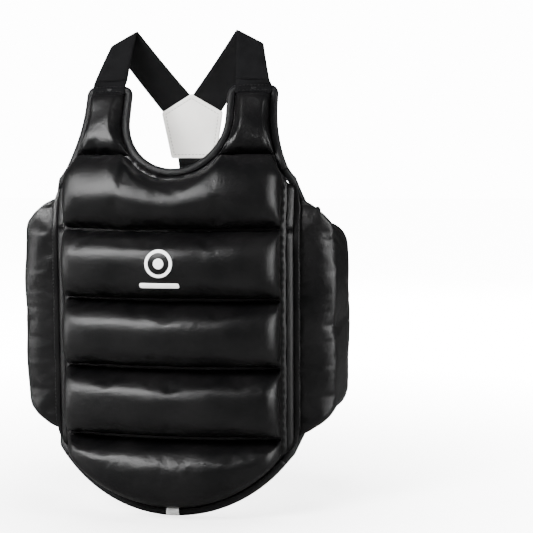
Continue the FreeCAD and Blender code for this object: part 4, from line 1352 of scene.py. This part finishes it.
BACK_TILT = math.radians(28.65)
BACK_LONG, LOOP_STOP = 146.0, 209.4


def back_place(a, s, n):
    a, s, n = np.broadcast_arrays(np.asarray(a, float), s, n)
    return np.stack([a, YOKE_Y + s * math.sin(BACK_TILT) + n * math.cos(BACK_TILT),
                     YOKE_LOW - s * math.cos(BACK_TILT) + n * math.sin(BACK_TILT)], -1)


def back_edges(a, stops, n):
    stops = np.asarray(stops, float)
    return back_place(a + 0 * stops, stops, n + 0 * stops)


stops = np.linspace(9, BACK_LONG, 50)
sway = 1.2 * np.sin((stops - 9) / (BACK_LONG - 9) * math.pi)
on_body(strip_between("back_strap_run", back_edges(-STRAP_HALF, stops, sway),
                      back_edges(STRAP_HALF, stops, sway), WEBBING, start_run=9), "back", ["back_strap"])
top_in, top_out = [bend(yoke_place(half, 6.0, 0.0), yoke_place(half, 0.0, 0.0),
                        back_place(-half, 9.0, 0.0), 10) for half in (STRAP_HALF, -STRAP_HALF)]
blended(strip_between("back_strap_top", top_in, top_out, WEBBING),
        np.array((0, YOKE_Y - 0.5, YOKE_LOW + 3)), np.array((0, YOKE_Y + 3.5, YOKE_LOW - 7)), False,
        slot="webbing")
# the strap's end is folded round the loop tape and sewn
fold = np.array([(BACK_LONG - 14, 2.0), (BACK_LONG - 4, 2.6), (BACK_LONG - 1, 3.2), (BACK_LONG + 0.6, 2.2),
                 (BACK_LONG + 0.8, 0.8), (BACK_LONG, -0.2)])
fold = smooth_path(fold, 2)
hem_left, hem_right = [np.array([back_place(half, s, n) for s, n in fold])
                       for half in (-STRAP_HALF, STRAP_HALF)]
on_body(strip_between("back_strap_hem", hem_left, hem_right, WEBBING), "back")
for k, s in enumerate((BACK_LONG - 11.5, BACK_LONG - 9.5)):
    a = np.linspace(-20, 20, 30)
    path = back_place(a, s + 0 * a, 3.0 + 0 * a)
    away = back_place(a, s + 0 * a, 4.0 + 0 * a) - path
    on_body(stitches(f"back_strap_hem_row_{k}", path, away, THREAD), "back")


def build_loop(side, flip):
    """A leg of the tape loop; it meets the belt's upper edge."""
    s = np.linspace(BACK_LONG - 3, LOOP_STOP - 8, 20)
    share = (s - BACK_LONG) / (LOOP_STOP - BACK_LONG)
    edges = []
    for lean_in, foot in ((12, 16), (0, 28)):
        run = back_place(21 + 7 * share - lean_in, s, 0.9 + 0 * s)
        bottom = np.array((foot, LEFT_Y - 0.3, LEFT_HIGH + 0.35))
        corner = np.array((foot, LEFT_Y - 0.5, 278.0))
        edges.append(np.vstack([run, bend(run[-1], corner, bottom, 8)[1:]]))
    obj = strip_between(f"{side}_loop_tape", edges[0], edges[1], WEBBING, thick=1.5, cols=7, flip=flip)
    return on_body(obj, "back", [f"{side}_loop_leg"])


sides(build_loop)

# ---------------------------------------------------------------- lining rows, label and plain marks
# the lining rows use thread darkened as painted seam shade
for k, level in enumerate(SEAMS[1:5]):
    x = np.linspace(-136, 136, 120)
    z = level + 0 * x
    on_body(panel_row(f"lining_row_{k}", chest, x, z, lining_in(x, z), PALE_THREAD_SEAM_SHADE, False, True), "chest")


def build_lining_rows(side, flip):
    x = np.linspace(58, 128, 40)
    z = SEAMS[5] + 0 * x
    on_body(panel_row(f"{side}_tab_lining_row", chest, x, z, lining_in(x, z), PALE_THREAD_SEAM_SHADE, flip, True),
            "chest")
    z = np.linspace(98, 420, 110)
    on_body(panel_row(f"{side}_side_lining_row", wing_side, 8.0 + 0 * z, z, wing_lining(8.0 + 0 * z, z),
                      PALE_THREAD_SEAM_SHADE, flip, True), f"{side}_side")
    z = np.linspace(146, 351, 80)
    on_body(panel_row(f"{side}_rear_lining_row", wing_rear, 8.0 + 0 * z, z, wing_lining(8.0 + 0 * z, z),
                      PALE_THREAD_SEAM_SHADE, flip, True), f"{side}_rear")
    inner = rear_path + rear_in * 15
    keep = rear_path[:, 0] > 12
    on_body(panel_row(f"{side}_rear_lining_border", wing_rear, inner[keep, 0], inner[keep, 1],
                      wing_lining(inner[keep, 0], inner[keep, 1]), PALE_THREAD_SEAM_SHADE, flip, True), f"{side}_rear")


sides(build_lining_rows)
label_line = rounded_outline([(-34, 380), (34, 380), (34, 436), (-34, 436)], 1.5)


def label_face(x, z):
    return lining_in(x, z) - 0.8 - 0.25 * wobble(x, z, 26, 191)


label = slab("care_label_cloth", label_line, chest, lambda a, b: lining_in(a, b) - 0.15, label_face, 2.4,
             LABEL)
on_body(label, "chest", ["care_label"])


def printed(name, outline, place, n, material, body, step=2.5):
    """A thin printed shape that lies on a surface."""
    outline = np.asarray(outline, float)
    obj = slab(name, outline, place, lambda a, b: n + 0 * a, lambda a, b: n - 0.25 + 0 * a, step, material)
    return on_body(obj, body)


for k, (low, half) in enumerate(((421, 22), (412, 26), (403, 18))):
    printed(f"label_bar_{k}", [(-half, low), (half, low), (half, low + 3.2), (-half, low + 3.2)],
            lambda a, b, n: chest(a, b, label_face(a, b) + n), 0.0, INK_GREY, "chest")

bpy.context.view_layer.update()
shown = CHANNELS[2].evaluated_get(bpy.context.evaluated_depsgraph_get())
TREE = BVHTree.FromObject(CHANNELS[2], bpy.context.evaluated_depsgraph_get())


def on_channel(a, b, n):
    """A place on the second channel's finished surface, seen straight from the front."""
    a, b, n = np.broadcast_arrays(a, b, n)
    spots = []
    for x, z, out in zip(a.ravel(), b.ravel(), n.ravel()):
        hit = TREE.ray_cast(Vector((x * MM, -0.4, z * MM)), Vector((0, 1, 0)))
        spots.append((x, (hit[0].y / MM if hit[0] else -146.0) - out, z))
    return np.array(spots).reshape(a.shape + (3,))


def mark(prefix, x, z, size, place, n, material, thick=0.25):
    """A plain mark: a ring with a dot in it, over a bar."""
    for name, inner, outer in (("ring", 0.62, 0.8), ("dot", 0.0, 0.3)):
        rings = []
        for angle in np.linspace(0, 2 * math.pi, 61):
            radii = np.linspace(inner, outer, 6) * size
            a, b = x + radii * math.cos(angle), z + radii * math.sin(angle)
            rings.append(np.vstack([place(a, b, n + 0 * a), place(a, b, n - thick + 0 * a)[::-1]]))
        obj = sweep(f"{prefix}_{name}", rings, material, None, False, caps=False)
        on_body(obj, "chest")
    half, foot, head = size * 1.15, z - size * 1.42, z - size * 1.12
    bar = rounded_outline([(x - half, foot), (x + half, foot), (x + half, head), (x - half, head)],
                          size * 0.13)
    obj = slab(f"{prefix}_bar", bar, place, lambda a, b: n + 0 * a, lambda a, b: n - thick + 0 * a, 1.6,
               material)
    on_body(obj, "chest")


mark("front_mark", -5, 333, 22, on_channel, 0.22, INK_WHITE)
mark("lining_mark", 0, 332, 17, lambda a, b, n: chest(a, b, lining_in(a, b) - n), 0.3, INK_BLACK)

# ---------------------------------------------------------------- floor, light and camera
FLOOR_HALF, FLOOR_Z = 6000, -0.6


def studio_floor():
    corners = ((-1, -1), (1, -1), (1, 1), (-1, 1))
    floor = mesh("studio_floor", [(x * FLOOR_HALF, y * FLOOR_HALF, FLOOR_Z) for x, y in corners],
                 [(0, 1, 2, 3)], FLOOR)


# The floor is painted light: it glows for the camera only, less near the object and more further out, and it
# shows near-black to glossy rays, painted shade in place of its lit reflection in the leather.
FLOOR, _, add, bsdf = shader("floor", 0.7, specular=0.2)
where = (add("ShaderNodeTexCoord"), 3)
away = add("ShaderNodeVectorMath", {0: where}, operation="LENGTH")
fade = add("ShaderNodeMapRange", {0: (away, 1), 1: 0.15, 2: 1.1, 3: 2.8, 4: 13.0})
seen = add("ShaderNodeLightPath")
glow = add("ShaderNodeMath", {0: (fade, 0), 1: (seen, 0)}, operation="MULTIPLY")
# base colour near-black for glossy rays: painted shade where the floor's reflection would be
floor_tone_dark_in_reflections = add("ShaderNodeMix", {0: (seen, 3)}, data_type="RGBA")
floor_tone_dark_in_reflections.inputs[6].default_value, floor_tone_dark_in_reflections.inputs[7].default_value = (0.9, 0.9, 0.9, 1), (0.06, 0.06, 0.06, 1)
FLOOR.node_tree.links.new(floor_tone_dark_in_reflections.outputs[2], bsdf.inputs["Base Color"])
bsdf.inputs["Emission Color"].default_value = (1, 1, 1, 1)
FLOOR.node_tree.links.new(glow.outputs[0], bsdf.inputs["Emission Strength"])
studio_floor()

world = bpy.data.worlds.new("studio")
scene.world = world
world.use_nodes = True
tree = world.node_tree
tree.nodes.clear()
path = tree.nodes.new("ShaderNodeLightPath")
dim, bright = tree.nodes.new("ShaderNodeBackground"), tree.nodes.new("ShaderNodeBackground")
dim.inputs[0].default_value, dim.inputs[1].default_value = (1, 1, 1, 1), 0.06
bright.inputs[0].default_value, bright.inputs[1].default_value = (1, 1, 1, 1), 14.0
mix = tree.nodes.new("ShaderNodeMixShader")
out = tree.nodes.new("ShaderNodeOutputWorld")
tree.links.new(path.outputs["Is Camera Ray"], mix.inputs[0])
tree.links.new(dim.outputs[0], mix.inputs[1])
tree.links.new(bright.outputs[0], mix.inputs[2])
tree.links.new(mix.outputs[0], out.inputs[0])


def softbox(name, place, target, width, height, power, shines=True):
    data = bpy.data.lights.new(name, "AREA")
    data.shape = "RECTANGLE"
    data.size, data.size_y, data.energy = width, height, power
    obj = bpy.data.objects.new(name, data)
    obj.location = place
    obj.rotation_mode = "QUATERNION"
    obj.rotation_quaternion = (Vector(target) - Vector(place)).to_track_quat("-Z", "Y")
    obj.visible_glossy = shines
    scene.collection.objects.link(obj)
    return obj


MIDDLE = (0, 0, 0.3)
softbox("key", (-1.15, -1.6, 1.55), MIDDLE, 0.6, 0.5, 60)
softbox("right_strip", (1.7, -0.45, 0.6), MIDDLE, 0.22, 1.3, 22)
softbox("left_strip", (-1.75, -0.45, 0.5), MIDDLE, 0.22, 1.3, 14)
softbox("wash", (-0.9, -1.6, 1.9), MIDDLE, 0.8, 0.8, 110, False)
softbox("top", (0.1, 0.2, 2.3), MIDDLE, 1.4, 1.0, 85, False)
softbox("behind", (0.6, 1.9, 1.2), MIDDLE, 1.6, 1.2, 110, False)

AZIMUTH, ELEVATION, DISTANCE, LENS, ROLL = 11.6, 6.5, 2.0, 100.8, -0.7
camera = bpy.data.cameras.new("camera")
view = bpy.data.objects.new("camera", camera)
scene.collection.objects.link(view)
scene.camera = view
turn, rise = math.radians(AZIMUTH), math.radians(ELEVATION)
back = Vector((math.sin(turn) * math.cos(rise), -math.cos(turn) * math.cos(rise), math.sin(rise)))
view.location = Vector((0, 0, 0.31)) + back * DISTANCE
view.rotation_mode = "QUATERNION"
view.rotation_quaternion = (-back).to_track_quat("-Z", "Y") @ Quaternion((0, 0, 1), math.radians(ROLL))
camera.lens, camera.sensor_width = LENS, 36.0
camera.shift_x, camera.shift_y = 0.151, 0.0045
camera.clip_start, camera.clip_end = 0.05, 50.0
